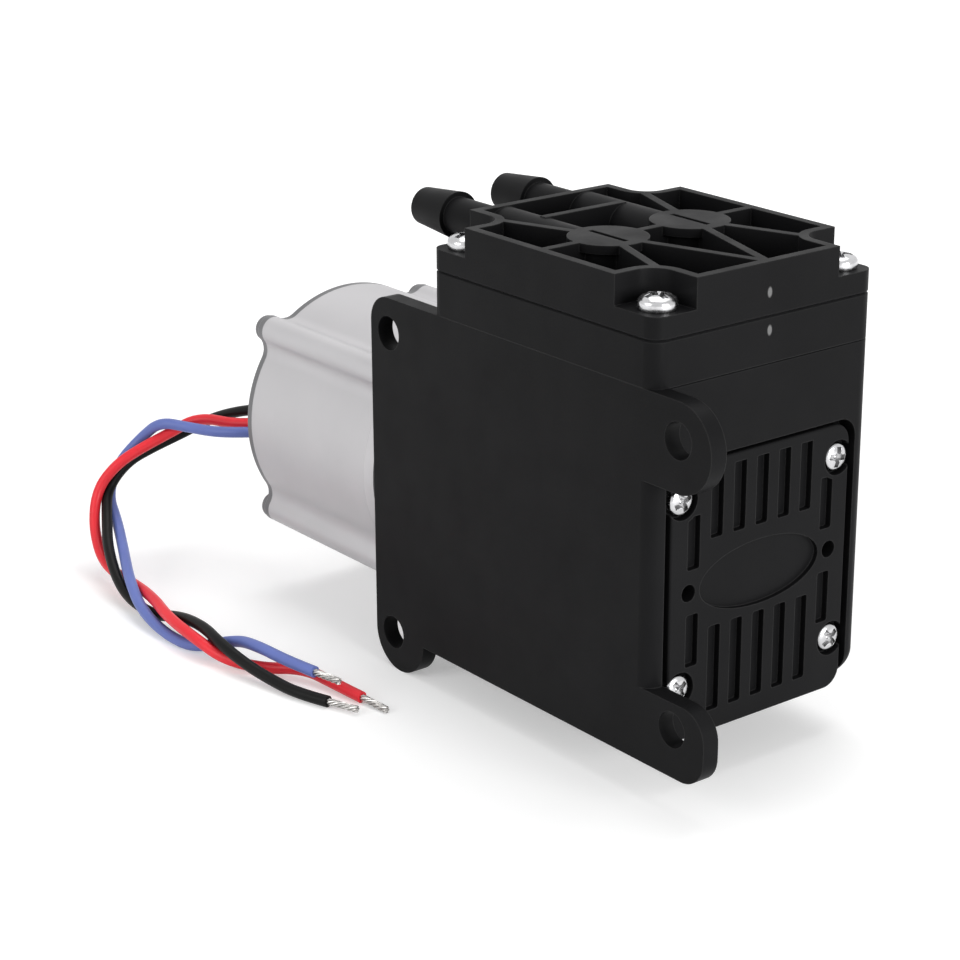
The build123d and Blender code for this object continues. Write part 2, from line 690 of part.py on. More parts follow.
# Connecting rod: ring on the bearing, waisted shank and a round head under the diaphragm
rod_ring_radius = rod_bearing_radius + rod_wall
with BuildPart() as connecting_rod:
    with BuildSketch(Plane.YZ.offset(body_mid - rod_bearing_width / 2)):
        with Locations((shaft_y, rest_pin_z)):
            Circle(rod_ring_radius)
        with Locations((shaft_y, rest_pin_z)):
            Rectangle(rod_width, diaphragm_low - rest_pin_z, align=(Align.CENTER, Align.MIN))
    extrude(amount=rod_bearing_width)
    with BuildSketch(Plane.XY.offset(diaphragm_low)):
        with Locations((body_mid, shaft_y)):
            Circle(clamp_radius)
    extrude(amount=-rod_head_thickness)
    with BuildSketch(Plane.YZ.offset(body_mid - rod_bearing_width / 2)):
        with Locations((shaft_y, rest_pin_z)):
            Circle(rod_bearing_radius + seat_clearance)
    extrude(amount=rod_bearing_width, mode=Mode.SUBTRACT)
    # Lightening pockets on both faces of the shank
    pocket_low = rest_pin_z + rod_ring_radius + moving_gap
    pocket_high = clamp_high - clamp_screw_grip - 2 * moving_gap
    pocket_depth = (rod_bearing_width - rod_web_thickness) / 2
    for face_x, inward in ((body_mid - rod_bearing_width / 2, pocket_depth),
                           (body_mid + rod_bearing_width / 2, -pocket_depth)):
        with BuildSketch(Plane.YZ.offset(face_x)):
            with Locations((shaft_y, (pocket_low + pocket_high) / 2)):
                Rectangle(rod_width / 2, pocket_high - pocket_low)
        extrude(amount=inward, mode=Mode.SUBTRACT)
    with BuildSketch(Plane.XY.offset(diaphragm_low)):
        with Locations((body_mid, shaft_y)):
            Circle(m3_pilot_radius)
    extrude(amount=-(clamp_screw_grip + seat_clearance - clamp_high + diaphragm_low), mode=Mode.SUBTRACT)
connecting_rod.part.label = "connecting_rod"
export_step(connecting_rod.part, "parts/connecting_rod.step")

# Bearing between the rod and the eccentric's pin
rod_bearing_rear = body_mid - rod_bearing_width / 2
rod_bearing_outer = shielded_outer_ring(
    rod_bearing_radius, pin_radius, rod_bearing_race, rod_bearing_rear, rod_bearing_width,
    (shaft_y, rest_pin_z))
rod_bearing_outer.part.label = "rod_bearing_outer"
export_step(rod_bearing_outer.part, "parts/rod_bearing_outer.step")
rod_bearing_inner = tube_along_shaft(
    pin_radius + rod_bearing_race, pin_radius + seat_clearance, rod_bearing_rear, rod_bearing_width,
    (shaft_y, rest_pin_z))
rod_bearing_inner.part.label = "rod_bearing_inner"
export_step(rod_bearing_inner.part, "parts/rod_bearing_inner.step")

# Eccentric: hub on the shaft, shoulder and pin set off by the throw
hub_front = rod_bearing_rear - shoulder_length
hub_rear = hub_front - hub_length
pin_front = rod_bearing_rear + rod_bearing_width + clip_thickness + pin_tail
set_screw_x = hub_rear + (hub_length - counterweight_thickness - counterweight_setback) / 2
with BuildPart() as eccentric:
    with BuildSketch(Plane.YZ.offset(hub_rear)):
        with Locations((shaft_y, 0)):
            Circle(hub_radius)
    extrude(amount=hub_length)
    with BuildSketch(Plane.YZ.offset(hub_front)):
        with Locations((shaft_y, rest_pin_z)):
            Circle(shoulder_radius)
    extrude(amount=shoulder_length)
    with BuildSketch(Plane.YZ.offset(rod_bearing_rear)):
        with Locations((shaft_y, rest_pin_z)):
            Circle(pin_radius)
    extrude(amount=pin_front - rod_bearing_rear)
    # Groove of the retaining clip
    with BuildSketch(Plane.YZ.offset(rod_bearing_rear + rod_bearing_width)):
        with Locations((shaft_y, rest_pin_z)):
            Circle(pin_radius)
            Circle(pin_radius - clip_thickness, mode=Mode.SUBTRACT)
    extrude(amount=clip_thickness, mode=Mode.SUBTRACT)
    with BuildSketch(Plane.YZ.offset(hub_rear)):
        with Locations((shaft_y, 0)):
            Circle(shaft_radius + seat_clearance)
    extrude(amount=pin_front - hub_rear, mode=Mode.SUBTRACT)
    with BuildSketch(Plane.XY):
        with Locations((set_screw_x, shaft_y)):
            Circle(m3_radius + seat_clearance)
    extrude(amount=hub_radius, mode=Mode.SUBTRACT)
eccentric.part.label = "eccentric"
export_step(eccentric.part, "parts/eccentric.step")

with BuildPart() as bearing_clip:
    with BuildSketch(Plane.YZ.offset(rod_bearing_rear + rod_bearing_width)):
        with Locations((shaft_y, rest_pin_z)):
            Circle(clip_radius)
            Circle(pin_radius - clip_thickness + seat_clearance, mode=Mode.SUBTRACT)
            Rectangle(2 * shaft_radius, clip_radius, align=(Align.CENTER, Align.MAX), mode=Mode.SUBTRACT)
    extrude(amount=clip_thickness)
bearing_clip.part.label = "bearing_clip"
export_step(bearing_clip.part, "parts/bearing_clip.step")

# Counterweight: a ring on the hub with its heavy half opposite the pin
with BuildPart() as counterweight:
    with BuildSketch(Plane.YZ.offset(hub_front - counterweight_setback)):
        with Locations((shaft_y, 0)):
            Circle(counterweight_radius)
            Rectangle(2 * counterweight_radius, counterweight_radius, align=(Align.CENTER, Align.MAX),
                      mode=Mode.SUBTRACT)
            Circle(hub_radius + cup_wall)
            Circle(hub_radius + seat_clearance, mode=Mode.SUBTRACT)
    extrude(amount=-counterweight_thickness)
counterweight.part.label = "counterweight"
export_step(counterweight.part, "parts/counterweight.step")

with BuildPart() as set_screw:
    with BuildSketch(Plane.XY.offset(shaft_radius)):
        with Locations((set_screw_x, shaft_y)):
            Circle(m3_radius)
    extrude(amount=set_screw_length)
    with BuildSketch(Plane.XY.offset(shaft_radius + set_screw_length)):
        with Locations((set_screw_x, shaft_y)):
            RegularPolygon(m3_radius / 2, 6)
    extrude(amount=-m3_radius, mode=Mode.SUBTRACT)
set_screw.part.label = "set_screw"
export_step(set_screw.part, "parts/set_screw.step")

# Motor housing, rear cap and front bracket share one lobed outline


def lobed_outline(sketch):
    """Draws a circle with a lobe round each through bolt, blended in, in the open sketch."""
    with Locations((shaft_y, 0)):
        Circle(motor_radius)
    with Locations(*bolt_points):
        Circle(lobe_radius)
    crotches = sketch.vertices().filter_by(
        lambda v: abs(abs(v.X - shaft_y) - abs(v.Y)) > same_place
        and min(abs(v.X - shaft_y), abs(v.Y)) > lobe_radius)
    fillet(crotches, radius=lobe_blend_radius)


housing_rear = motor_rear + rear_cap_thickness
board_radius = motor_radius - housing_wall - board_rim_gap
bracket_rear = motor_front - bracket_thickness
with BuildPart() as motor_housing:
    with BuildSketch(Plane.YZ.offset(housing_rear)) as housing_outline:
        lobed_outline(housing_outline)
        with Locations((shaft_y, 0)):
            Circle(motor_radius - housing_wall, mode=Mode.SUBTRACT)
        with Locations(*bolt_points):
            Circle(m25_radius + bolt_hole_margin, mode=Mode.SUBTRACT)
    extrude(amount=bracket_rear - housing_rear)
motor_housing.part.label = "motor_housing"
export_step(motor_housing.part, "parts/motor_housing.step")

grommet_center = (shaft_y - grommet_offset, -grommet_drop)
with BuildPart() as rear_cap:
    with BuildSketch(Plane.YZ.offset(motor_rear)) as cap_outline:
        lobed_outline(cap_outline)
        with Locations(*bolt_points):
            Circle(m25_radius + bolt_hole_margin, mode=Mode.SUBTRACT)
        with Locations(grommet_center):
            SlotOverall(grommet_length, grommet_width, rotation=90, mode=Mode.SUBTRACT)
    extrude(amount=rear_cap_thickness)
    # Bearing cup and the posts that the driver board stands on
    with BuildSketch(Plane.YZ.offset(housing_rear)):
        with Locations((shaft_y, 0)):
            Circle(bearing_bore_radius + cup_wall)
            Circle(bearing_bore_radius, mode=Mode.SUBTRACT)
    extrude(amount=washer_thickness + bearing_width)
    with BuildSketch(Plane.YZ.offset(housing_rear)):
        with Locations((shaft_y, 0)):
            with PolarLocations(board_radius - post_inset, post_count, start_angle=post_angle):
                Circle(post_radius)
    extrude(amount=board_standoff)
rear_cap.part.label = "rear_cap"
export_step(rear_cap.part, "parts/rear_cap.step")

with BuildPart() as front_bracket:
    with BuildSketch(Plane.YZ.offset(bracket_rear)) as bracket_outline:
        lobed_outline(bracket_outline)
        with Locations(*bolt_points):
            Circle(m25_pilot_radius, mode=Mode.SUBTRACT)
        with Locations(*motor_screw_points):
            Circle(m3_pilot_radius, mode=Mode.SUBTRACT)
    extrude(amount=bracket_thickness)
    with BuildSketch(Plane.YZ.offset(motor_front)):
        with Locations((shaft_y, 0)):
            Circle(nose_radius)
    extrude(amount=chamber_rear - motor_front)
    with BuildSketch(Plane.YZ.offset(bracket_rear)):
        with Locations((shaft_y, 0)):
            Circle(nose_bore_radius)
    extrude(amount=chamber_rear - bracket_rear, mode=Mode.SUBTRACT)
    with BuildSketch(Plane.YZ.offset(chamber_rear)):
        with Locations((shaft_y, 0)):
            Circle(bearing_bore_radius)
    extrude(amount=-bearing_width, mode=Mode.SUBTRACT)
front_bracket.part.label = "front_bracket"
export_step(front_bracket.part, "parts/front_bracket.step")

# Through bolts from behind, and the screws that hold the motor on the crankcase
cap_face = Plane((motor_rear, 0, 0), x_dir=(0, 1, 0), z_dir=(-1, 0, 0))
through_bolts = pan_screws(
    cap_face, [(y, -z) for y, z in bolt_points], m25_head_radius,
    m25_head_height, m25_head_fillet, m25_radius, motor_length - moving_gap)
through_bolts.part.label = "through_bolts"
export_step(through_bolts.part, "parts/through_bolts.step")
motor_screws = pan_screws(
    Plane.YZ.offset(chamber_rear), motor_screw_points, m3_head_radius, m3_head_height, m3_recess_fillet,
    m3_radius, chamber_rear - motor_front + bracket_thickness - moving_gap)
motor_screws.part.label = "motor_screws"
export_step(motor_screws.part, "parts/motor_screws.step")

# Shaft and its two bearings, with a washer that loads the rear one
shaft_rear = housing_rear + moving_gap
rear_bearing_x = housing_rear + washer_thickness
front_bearing_x = chamber_rear - bearing_width
with BuildPart() as motor_shaft:
    with BuildSketch(Plane.YZ.offset(shaft_rear)):
        with Locations((shaft_y, 0)):
            Circle(shaft_radius)
    extrude(amount=pin_front - shaft_rear)
    chamfer(motor_shaft.edges(), length=shaft_radius / 8)
motor_shaft.part.label = "motor_shaft"
export_step(motor_shaft.part, "parts/motor_shaft.step")

rear_bearing_outer = shielded_outer_ring(
    bearing_radius, shaft_radius, bearing_race, rear_bearing_x, bearing_width)
rear_bearing_outer.part.label = "rear_bearing_outer"
export_step(rear_bearing_outer.part, "parts/rear_bearing_outer.step")
rear_bearing_inner = tube_along_shaft(
    shaft_radius + bearing_race, shaft_radius + seat_clearance, rear_bearing_x, bearing_width)
rear_bearing_inner.part.label = "rear_bearing_inner"
export_step(rear_bearing_inner.part, "parts/rear_bearing_inner.step")
front_bearing_outer = shielded_outer_ring(
    bearing_radius, shaft_radius, bearing_race, front_bearing_x, bearing_width)
front_bearing_outer.part.label = "front_bearing_outer"
export_step(front_bearing_outer.part, "parts/front_bearing_outer.step")
front_bearing_inner = tube_along_shaft(
    shaft_radius + bearing_race, shaft_radius + seat_clearance, front_bearing_x, bearing_width)
front_bearing_inner.part.label = "front_bearing_inner"
export_step(front_bearing_inner.part, "parts/front_bearing_inner.step")
preload_washer = tube_along_shaft(
    bearing_radius, bearing_radius - bearing_race, housing_rear, washer_thickness)
preload_washer.part.label = "preload_washer"
export_step(preload_washer.part, "parts/preload_washer.step")

# Rotor: laminated core and four magnets
stack_rear = motor_rear + stack_setback
stator_bore_radius = motor_radius * stator_bore_share
magnet_outer = stator_bore_radius - air_gap
magnet_inner = magnet_outer - magnet_thickness
rotor_core = tube_along_shaft(
    magnet_inner - seat_clearance, shaft_radius + seat_clearance, stack_rear, stack_length)
rotor_core.part.label = "rotor_core"
export_step(rotor_core.part, "parts/rotor_core.step")
with BuildPart() as rotor_magnets:
    with BuildSketch(Plane.YZ.offset(stack_rear)):
        with Locations((shaft_y, 0)):
            Circle(magnet_outer)
            Circle(magnet_inner, mode=Mode.SUBTRACT)
            Rectangle(2 * magnet_outer, magnet_gap, mode=Mode.SUBTRACT)
            Rectangle(magnet_gap, 2 * magnet_outer, mode=Mode.SUBTRACT)
    extrude(amount=stack_length)
rotor_magnets.part.label = "rotor_magnets"
export_step(rotor_magnets.part, "parts/rotor_magnets.step")

# Stator: ring with teeth and shoes, and a coil round each tooth
stator_radius = motor_radius - housing_wall - seat_clearance
ring_inner = stator_radius - stator_ring
with BuildPart() as stator_core:
    with BuildSketch(Plane.YZ.offset(stack_rear)):
        with Locations((shaft_y, 0)):
            Circle(stator_radius)
            Circle(ring_inner, mode=Mode.SUBTRACT)
            with PolarLocations(stator_bore_radius, tooth_count):
                Rectangle(ring_inner - stator_bore_radius + stator_ring / 2, tooth_width,
                          align=(Align.MIN, Align.CENTER))
            with PolarLocations(stator_bore_radius - shoe_thickness, tooth_count):
                Rectangle(2 * shoe_thickness, shoe_width, align=(Align.MIN, Align.CENTER))
            Circle(stator_bore_radius, mode=Mode.SUBTRACT)
    extrude(amount=stack_length)
stator_core.part.label = "stator_core"
export_step(stator_core.part, "parts/stator_core.step")

coil_start = stator_bore_radius + shoe_thickness + moving_gap
coil_end = ring_inner * cos(radians(coil_clear_angle)) - moving_gap
with BuildPart() as stator_coils:
    for tooth in range(tooth_count):
        angle = radians(360 / tooth_count * tooth)
        outward = (0, cos(angle), sin(angle))
        root = (stack_rear + stack_length / 2, shaft_y + coil_start * cos(angle), coil_start * sin(angle))
        with BuildSketch(Plane(root, x_dir=(1, 0, 0), z_dir=outward)):
            RectangleRounded(stack_length + 2 * coil_overhang, tooth_width + 2 * coil_build, coil_build)
            Rectangle(stack_length + 2 * seat_clearance, tooth_width + 2 * seat_clearance,
                      mode=Mode.SUBTRACT)
        extrude(amount=coil_end - coil_start)
stator_coils.part.label = "stator_coils"
export_step(stator_coils.part, "parts/stator_coils.step")

# Driver board on its posts, with its chip and two capacitors
board_rear = housing_rear + board_standoff
board_front = board_rear + board_thickness
board_bore_radius = bearing_bore_radius + cup_wall + board_gap
part_circle = (board_radius + board_bore_radius) / 2
driver_board = tube_along_shaft(board_radius, board_bore_radius, board_rear, board_thickness)
driver_board.part.label = "driver_board"
export_step(driver_board.part, "parts/driver_board.step")
with BuildPart() as board_components:
    with BuildSketch(Plane.YZ.offset(board_front)):
        with Locations((shaft_y, part_circle)):
            Rectangle(chip_size, chip_size)
        with Locations((shaft_y + part_circle, 0), (shaft_y, -part_circle)):
            Circle(capacitor_radius)
    extrude(amount=board_part_height)
board_components.part.label = "board_components"
export_step(board_components.part, "parts/board_components.step")

# Grommet in the rear cap: a neck in the hole and a flange on each side
grommet_rear = motor_rear - grommet_flange
with BuildPart() as lead_grommet:
    with BuildSketch(Plane.YZ.offset(grommet_rear)):
        with Locations(grommet_center):
            SlotOverall(grommet_length + 2 * grommet_lip, grommet_width + 2 * grommet_lip,
                        rotation=90)
    extrude(amount=grommet_flange)
    fillet(lead_grommet.faces().sort_by(Axis.X)[0].edges(), radius=grommet_lip / 2)
    with BuildSketch(Plane.YZ.offset(motor_rear)):
        with Locations(grommet_center):
            SlotOverall(grommet_length - 2 * seat_clearance, grommet_width - 2 * seat_clearance,
                        rotation=90)
    extrude(amount=rear_cap_thickness)
    with BuildSketch(Plane.YZ.offset(housing_rear)):
        with Locations(grommet_center):
            SlotOverall(grommet_length + grommet_lip, grommet_width + grommet_lip, rotation=90)
    extrude(amount=grommet_flange)
lead_grommet.part.label = "lead_grommet"
export_step(lead_grommet.part, "parts/lead_grommet.step")

# Leads: laid by hand from the grommet down to the bench and forwards, twisted round each
# other. Their points are offsets from the exit of the middle one.
lead_exit = (grommet_rear, shaft_y - grommet_offset, -grommet_drop)
lead_routes = {
    "red": [
        (0.0, 0.0, 0.0), (-4.9, 0.0, 0.0), (-11.9, -3.1, -1.4), (-20.4, -6.6, -4.4),
        (-22.9, -11.1, -6.9), (-25.4, -14.6, -7.9), (-27.9, -18.1, -9.9), (-29.4, -21.6, -14.4),
        (-25.9, -25.1, -19.4), (-18.9, -27.1, -23.9), (-8.4, -28.1, -24.9), (1.1, -30.1, -23.9),
        (10.1, -32.1, -23.9), (18.1, -32.6, -25.4), (24.1, -30.6, -26.9), (30.1, -28.1, -26.9),
        (36.1, -25.1, -26.9), (43.1, -23.1, -26.9), (50.1, -21.6, -26.9),
    ],
    "black": [
        (0.0, 0.0, lead_pitch), (-4.9, 0.0, lead_pitch), (-11.9, -5.6, 1.1), (-20.4, -7.6, -1.9),
        (-24.4, -10.1, -4.9), (-26.9, -12.6, -8.4), (-26.9, -15.6, -11.4), (-26.4, -20.1, -14.4),
        (-23.9, -24.6, -17.9), (-17.9, -28.6, -21.4), (-8.4, -31.1, -25.4), (1.1, -30.1, -26.9),
        (10.1, -29.6, -25.4), (17.6, -30.1, -23.9), (24.1, -30.6, -24.4), (30.6, -30.6, -25.9),
        (36.1, -29.6, -26.9), (42.1, -28.1, -26.9), (47.1, -25.6, -26.9),
    ],
    "blue": [
        (0.0, 0.0, -lead_pitch), (-4.9, 0.0, -lead_pitch), (-11.4, -6.1, -2.4), (-18.9, -9.1, -3.4),
        (-23.4, -12.1, -3.9), (-27.4, -13.6, -6.4), (-29.4, -16.1, -10.9), (-28.4, -17.6, -15.4),
        (-23.4, -21.6, -19.4), (-16.9, -25.6, -21.4), (-7.9, -30.6, -22.9), (0.6, -32.6, -24.9),
        (9.6, -32.1, -26.9), (17.6, -30.1, -26.9), (24.1, -28.1, -25.4), (30.6, -27.6, -24.4),
        (37.1, -26.6, -24.9), (43.1, -25.1, -24.9),
    ],
}


def arc_radii(points):
    """Radius of the arc at each inner point of a route: as large as its two runs allow."""
    radii = []
    for before, here, after in zip(points, points[1:], points[2:]):
        run_in = Vector(*here) - Vector(*before)
        run_out = Vector(*after) - Vector(*here)
        turn = radians(run_in.get_angle(run_out))
        radii.append(arc_share * min(run_in.length, run_out.length) / tan(turn / 2))
    return radii


for color, offsets in lead_routes.items():
    points = [tuple(a + b for a, b in zip(lead_exit, offset)) for offset in offsets]
    radii = arc_radii(points)
    with BuildPart() as lead:
        with BuildLine() as route:
            FilletPolyline(*points, radius=radii)
        with BuildSketch(Plane(origin=route.line @ 0, z_dir=route.line % 0)):
            Circle(lead_diameter / 2)
        sweep(path=route.line)
    lead.part.label = f"{color}_lead"
    export_step(lead.part, f"parts/{color}_lead.step")
    # The bare end goes on in line with the lead
    with BuildPart() as conductor:
        with BuildSketch(Plane(origin=route.line @ 1, z_dir=route.line % 1)):
            Circle(conductor_diameter / 2)
        extrude(amount=conductor_length)
    conductor.part.label = f"{color}_conductor"
    export_step(conductor.part, f"parts/{color}_conductor.step")
    length = route.wire().length
    full_volume = pi * (lead_diameter / 2) ** 2 * length
    print(f"{color} lead: {length:.1f} mm, radii", [round(radius, 1) for radius in radii])
    print(f"  volume {lead.part.volume:.1f} of {full_volume:.1f} cubic mm")
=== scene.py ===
"""Electric diaphragm air pump: its finishes, screws, leads and stage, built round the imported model.

All lengths are metres in the part's own frame: X runs along the shaft towards the front cover, Y from
the mounting face into the body and Z up.
"""

import json
import logging
import math
from dataclasses import dataclass, field
from enum import Enum
from typing import Optional

import bmesh
import bpy
from mathutils import Matrix, Vector


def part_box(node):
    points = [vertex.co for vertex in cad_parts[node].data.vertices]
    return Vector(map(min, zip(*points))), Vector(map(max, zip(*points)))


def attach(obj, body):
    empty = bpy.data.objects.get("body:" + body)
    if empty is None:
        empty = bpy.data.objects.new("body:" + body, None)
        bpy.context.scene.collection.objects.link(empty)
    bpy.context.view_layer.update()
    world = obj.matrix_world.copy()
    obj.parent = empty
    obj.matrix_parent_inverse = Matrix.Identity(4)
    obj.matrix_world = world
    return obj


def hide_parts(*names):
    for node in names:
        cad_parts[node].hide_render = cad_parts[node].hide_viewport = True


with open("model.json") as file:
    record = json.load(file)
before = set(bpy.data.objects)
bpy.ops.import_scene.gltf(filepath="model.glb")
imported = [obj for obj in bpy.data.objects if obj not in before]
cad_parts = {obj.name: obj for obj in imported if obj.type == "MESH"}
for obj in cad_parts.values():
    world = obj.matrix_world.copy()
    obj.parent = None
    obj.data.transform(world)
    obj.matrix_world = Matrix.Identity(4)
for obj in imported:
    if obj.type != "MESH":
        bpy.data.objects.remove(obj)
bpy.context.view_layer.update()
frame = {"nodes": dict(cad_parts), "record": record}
MM = 0.001
BODY = "pump_body"
log = logging.getLogger("air_pump")


class Slot(Enum):
    """Material slots of the record."""

    BLACK_MOULDING = "black_moulding"
    MOTOR_GREY = "motor_grey"
    DARK_PLATE = "dark_plate"
    SCREW_STEEL = "screw_steel"
    BEARING_STEEL = "bearing_steel"
    LAMINATION = "lamination"
    MAGNET = "magnet"
    WINDING = "winding"
    BOARD_GREEN = "board_green"
    CHIP_BLACK = "chip_black"
    ALLOY = "alloy"
    ROD_PLASTIC = "rod_plastic"
    RUBBER_BLACK = "rubber_black"
    FLAP_RUBBER = "flap_rubber"
    LEAD_RED = "lead_red"
    LEAD_BLACK = "lead_black"
    LEAD_BLUE = "lead_blue"
    TINNED_COPPER = "tinned_copper"


class Graph:
    """A short way to fill a node tree."""

    def __init__(self, tree: bpy.types.NodeTree) -> None:
        """Keeps the tree.

        Args:
            tree: The node tree to fill.
        """
        self.tree = tree

    def add(self, kind: str, inputs: Optional[dict] = None, **settings: object) -> bpy.types.Node:
        """Adds one node.

        Args:
            kind: Blender's name of the node type.
            inputs: Values or output sockets by input name or number.
            settings: Attributes of the node itself.

        Returns:
            The new node.
        """
        node = self.tree.nodes.new(kind)
        for name, value in settings.items():
            setattr(node, name, value)
        for key, value in (inputs or {}).items():
            if isinstance(value, bpy.types.NodeSocket):
                self.tree.links.new(value, node.inputs[key])
            else:
                node.inputs[key].default_value = value
        return node

    def link(self, start: bpy.types.NodeSocket, end: bpy.types.NodeSocket) -> None:
        """Links one output to one input."""
        self.tree.links.new(start, end)


def grey(level: float) -> tuple[float, float, float, float]:
    """An opaque neutral colour."""
    return (level, level, level, 1.0)


@dataclass(frozen=True)
class Finish:
    """What every finish shares: a colour that varies a little, a roughness and a fine relief."""

    slot: Slot
    colour: tuple[float, float, float]
    roughness: float
    metallic: float = 0.0
    specular: float = 0.5
    patch_size: float = 18 * MM
    patch_strength: float = 0.12
    grain_size: float = 0.35 * MM
    grain_depth: float = 0.02 * MM
    grain_stretch: tuple[float, float, float] = (1.0, 1.0, 1.0)
    edge_radius: float = 0.15 * MM
    # Painted highlight: the lighter colour mixed in along edges, and its largest share.
    edge_highlight_colour: Optional[tuple[float, float, float]] = None
    edge_highlight_share: float = 0.6
    # Painted shade: the colour that closed-in crevices turn to, and how far the occlusion looks round.
    painted_shade_colour: Optional[tuple[float, float, float]] = None
    painted_shade_reach: float = 0.9 * MM
    coat: float = 0.0

    def material(self) -> bpy.types.Material:
        """Builds the node material.

        Returns:
            The material, named after its slot.
        """
        material = bpy.data.materials.new(self.slot.value)
        material.use_nodes = True
        graph = Graph(material.node_tree)
        shader = material.node_tree.nodes["Principled BSDF"]
        place = graph.add("ShaderNodeTexCoord").outputs["Object"]
        shader.inputs["Metallic"].default_value = self.metallic
        shader.inputs["Specular IOR Level"].default_value = self.specular
        shader.inputs["Coat Weight"].default_value = self.coat
        # Random tone, then painted shade in crevices, then painted highlights along the edges.
        colour = self.with_painted_edge_highlight(graph, self.with_painted_shade(graph, self.tint(graph, place)))
        graph.link(self.marked(graph, place, colour), shader.inputs["Base Color"])
        graph.link(self.sheen_map(graph, place), shader.inputs["Roughness"])
        graph.link(self.relief(graph, place), shader.inputs["Normal"])
        return material

    def tint(self, graph: Graph, place: bpy.types.NodeSocket) -> bpy.types.NodeSocket:
        """Varies the colour in soft patches.

        Args:
            graph: The tree to fill.
            place: The coordinates to read.

        Returns:
            The colour output.
        """
        patches = graph.add("ShaderNodeTexNoise", {"Vector": place, "Scale": 1 / self.patch_size, "Detail": 3.0})
        dark = tuple(c * (1 - self.patch_strength) for c in self.colour)
        light = tuple(min(c * (1 + self.patch_strength), 1.0) for c in self.colour)
        ramp = graph.add("ShaderNodeValToRGB", {"Fac": patches.outputs["Fac"]})
        ramp.color_ramp.elements[0].position = 0.3
        ramp.color_ramp.elements[0].color = (*dark, 1)
        ramp.color_ramp.elements[1].position = 0.7
        ramp.color_ramp.elements[1].color = (*light, 1)
        return ramp.outputs["Color"]

    def marked(self, graph: Graph, place: bpy.types.NodeSocket, colour: bpy.types.NodeSocket
               ) -> bpy.types.NodeSocket:
        """Leaves the colour as it is; a finish with local marks overrides this."""
        return colour

    def with_painted_shade(self, graph: Graph, colour: bpy.types.NodeSocket) -> bpy.types.NodeSocket:
        """Paints shade into crevices, such as a screw's recess: where ambient occlusion finds them closed in, the
        colour turns to the painted shade colour.

        Args:
            graph: The tree to fill.
            colour: The colour of the open faces.

        Returns:
            The colour output.
        """
        if self.painted_shade_colour is None:
            return colour
        # Painted shade: ambient occlusion mixes the shade colour into crevices.
        depth = graph.add("ShaderNodeAmbientOcclusion", {"Distance": self.painted_shade_reach}, samples=8)
        share = graph.add("ShaderNodeMapRange", {
            "Value": depth.outputs["AO"], "From Min": 0.3, "From Max": 0.9})
        mix = graph.add("ShaderNodeMix", {"Factor": share.outputs["Result"], 6: (*self.painted_shade_colour, 1.0),
                                          7: colour}, data_type="RGBA")
        return mix.outputs[2]

    def with_painted_edge_highlight(self, graph: Graph, colour: bpy.types.NodeSocket) -> bpy.types.NodeSocket:
        """Paints highlights along the edges: lightens the colour where the rounded normal turns away from the flat
        one.

        Args:
            graph: The tree to fill.
            colour: The colour of the faces.

        Returns:
            The colour output.
        """
        if self.edge_highlight_colour is None:
            return colour
        # Painted highlight: the bevel normal finds the edges, which get the lighter colour.
        rounded = graph.add("ShaderNodeBevel", {"Radius": self.edge_radius * 1.5}, samples=6)
        flat = graph.add("ShaderNodeNewGeometry").outputs["Normal"]
        same = graph.add("ShaderNodeVectorMath", {0: rounded.outputs["Normal"], 1: flat}, operation="DOT_PRODUCT")
        edge = graph.add("ShaderNodeMapRange", {
            "Value": same.outputs["Value"], "From Min": 0.995, "From Max": 0.8, "To Max": self.edge_highlight_share})
        mix = graph.add("ShaderNodeMix", {"Factor": edge.outputs["Result"], 6: colour,
                                          7: (*self.edge_highlight_colour, 1.0)}, data_type="RGBA")
        return mix.outputs[2]

    def sheen_map(self, graph: Graph, place: bpy.types.NodeSocket) -> bpy.types.NodeSocket:
        """Varies the roughness at the scale of handling marks.

        Args:
            graph: The tree to fill.
            place: The coordinates to read.

        Returns:
            The roughness output.
        """
        marks = graph.add("ShaderNodeTexNoise", {"Vector": place, "Scale": 3 / self.patch_size, "Detail": 4.0})
        span = graph.add("ShaderNodeMapRange", {
            "Value": marks.outputs["Fac"], "From Min": 0.3, "From Max": 0.7,
            "To Min": max(self.roughness - 0.06, 0.02), "To Max": self.roughness + 0.06})
        return span.outputs["Result"]

    def relief(self, graph: Graph, place: bpy.types.NodeSocket) -> bpy.types.NodeSocket:
        """Adds the fine grain over softly rounded edges.

        Args:
            graph: The tree to fill.
            place: The coordinates to read.

        Returns:
            The normal output.
        """
        stretch = graph.add("ShaderNodeMapping", {"Vector": place, "Scale": self.grain_stretch})
        grain = graph.add("ShaderNodeTexNoise", {
            "Vector": stretch.outputs["Vector"], "Scale": 1 / self.grain_size, "Detail": 2.0})
        edges = graph.add("ShaderNodeBevel", {"Radius": self.edge_radius}, samples=4)
        bump = graph.add("ShaderNodeBump", {
            "Strength": 1.0, "Distance": self.grain_depth, "Height": grain.outputs["Fac"],
            "Normal": edges.outputs["Normal"]})
        return bump.outputs["Normal"]


@dataclass(frozen=True)
class BandedFinish(Finish):
    """A finish with fine bands across X, such as stacked sheets or turns of wire."""

    band: float = 0.5 * MM
    band_dark: float = 0.55

    def tint(self, graph: Graph, place: bpy.types.NodeSocket) -> bpy.types.NodeSocket:
        """Darkens the line between two bands.

        Args:
            graph: The tree to fill.
            place: The coordinates to read.

        Returns:
            The colour output.
        """
        wave = graph.add("ShaderNodeTexWave", {"Vector": place, "Scale": 1 / (self.band * math.tau)},
                         bands_direction="X", wave_profile="SIN")
        ramp = graph.add("ShaderNodeValToRGB", {"Fac": wave.outputs["Fac"]})
        ramp.color_ramp.elements[0].position = 0.15
        ramp.color_ramp.elements[0].color = (*(c * self.band_dark for c in self.colour), 1)
        ramp.color_ramp.elements[1].position = 0.5
        ramp.color_ramp.elements[1].color = (*self.colour, 1)
        return ramp.outputs["Color"]


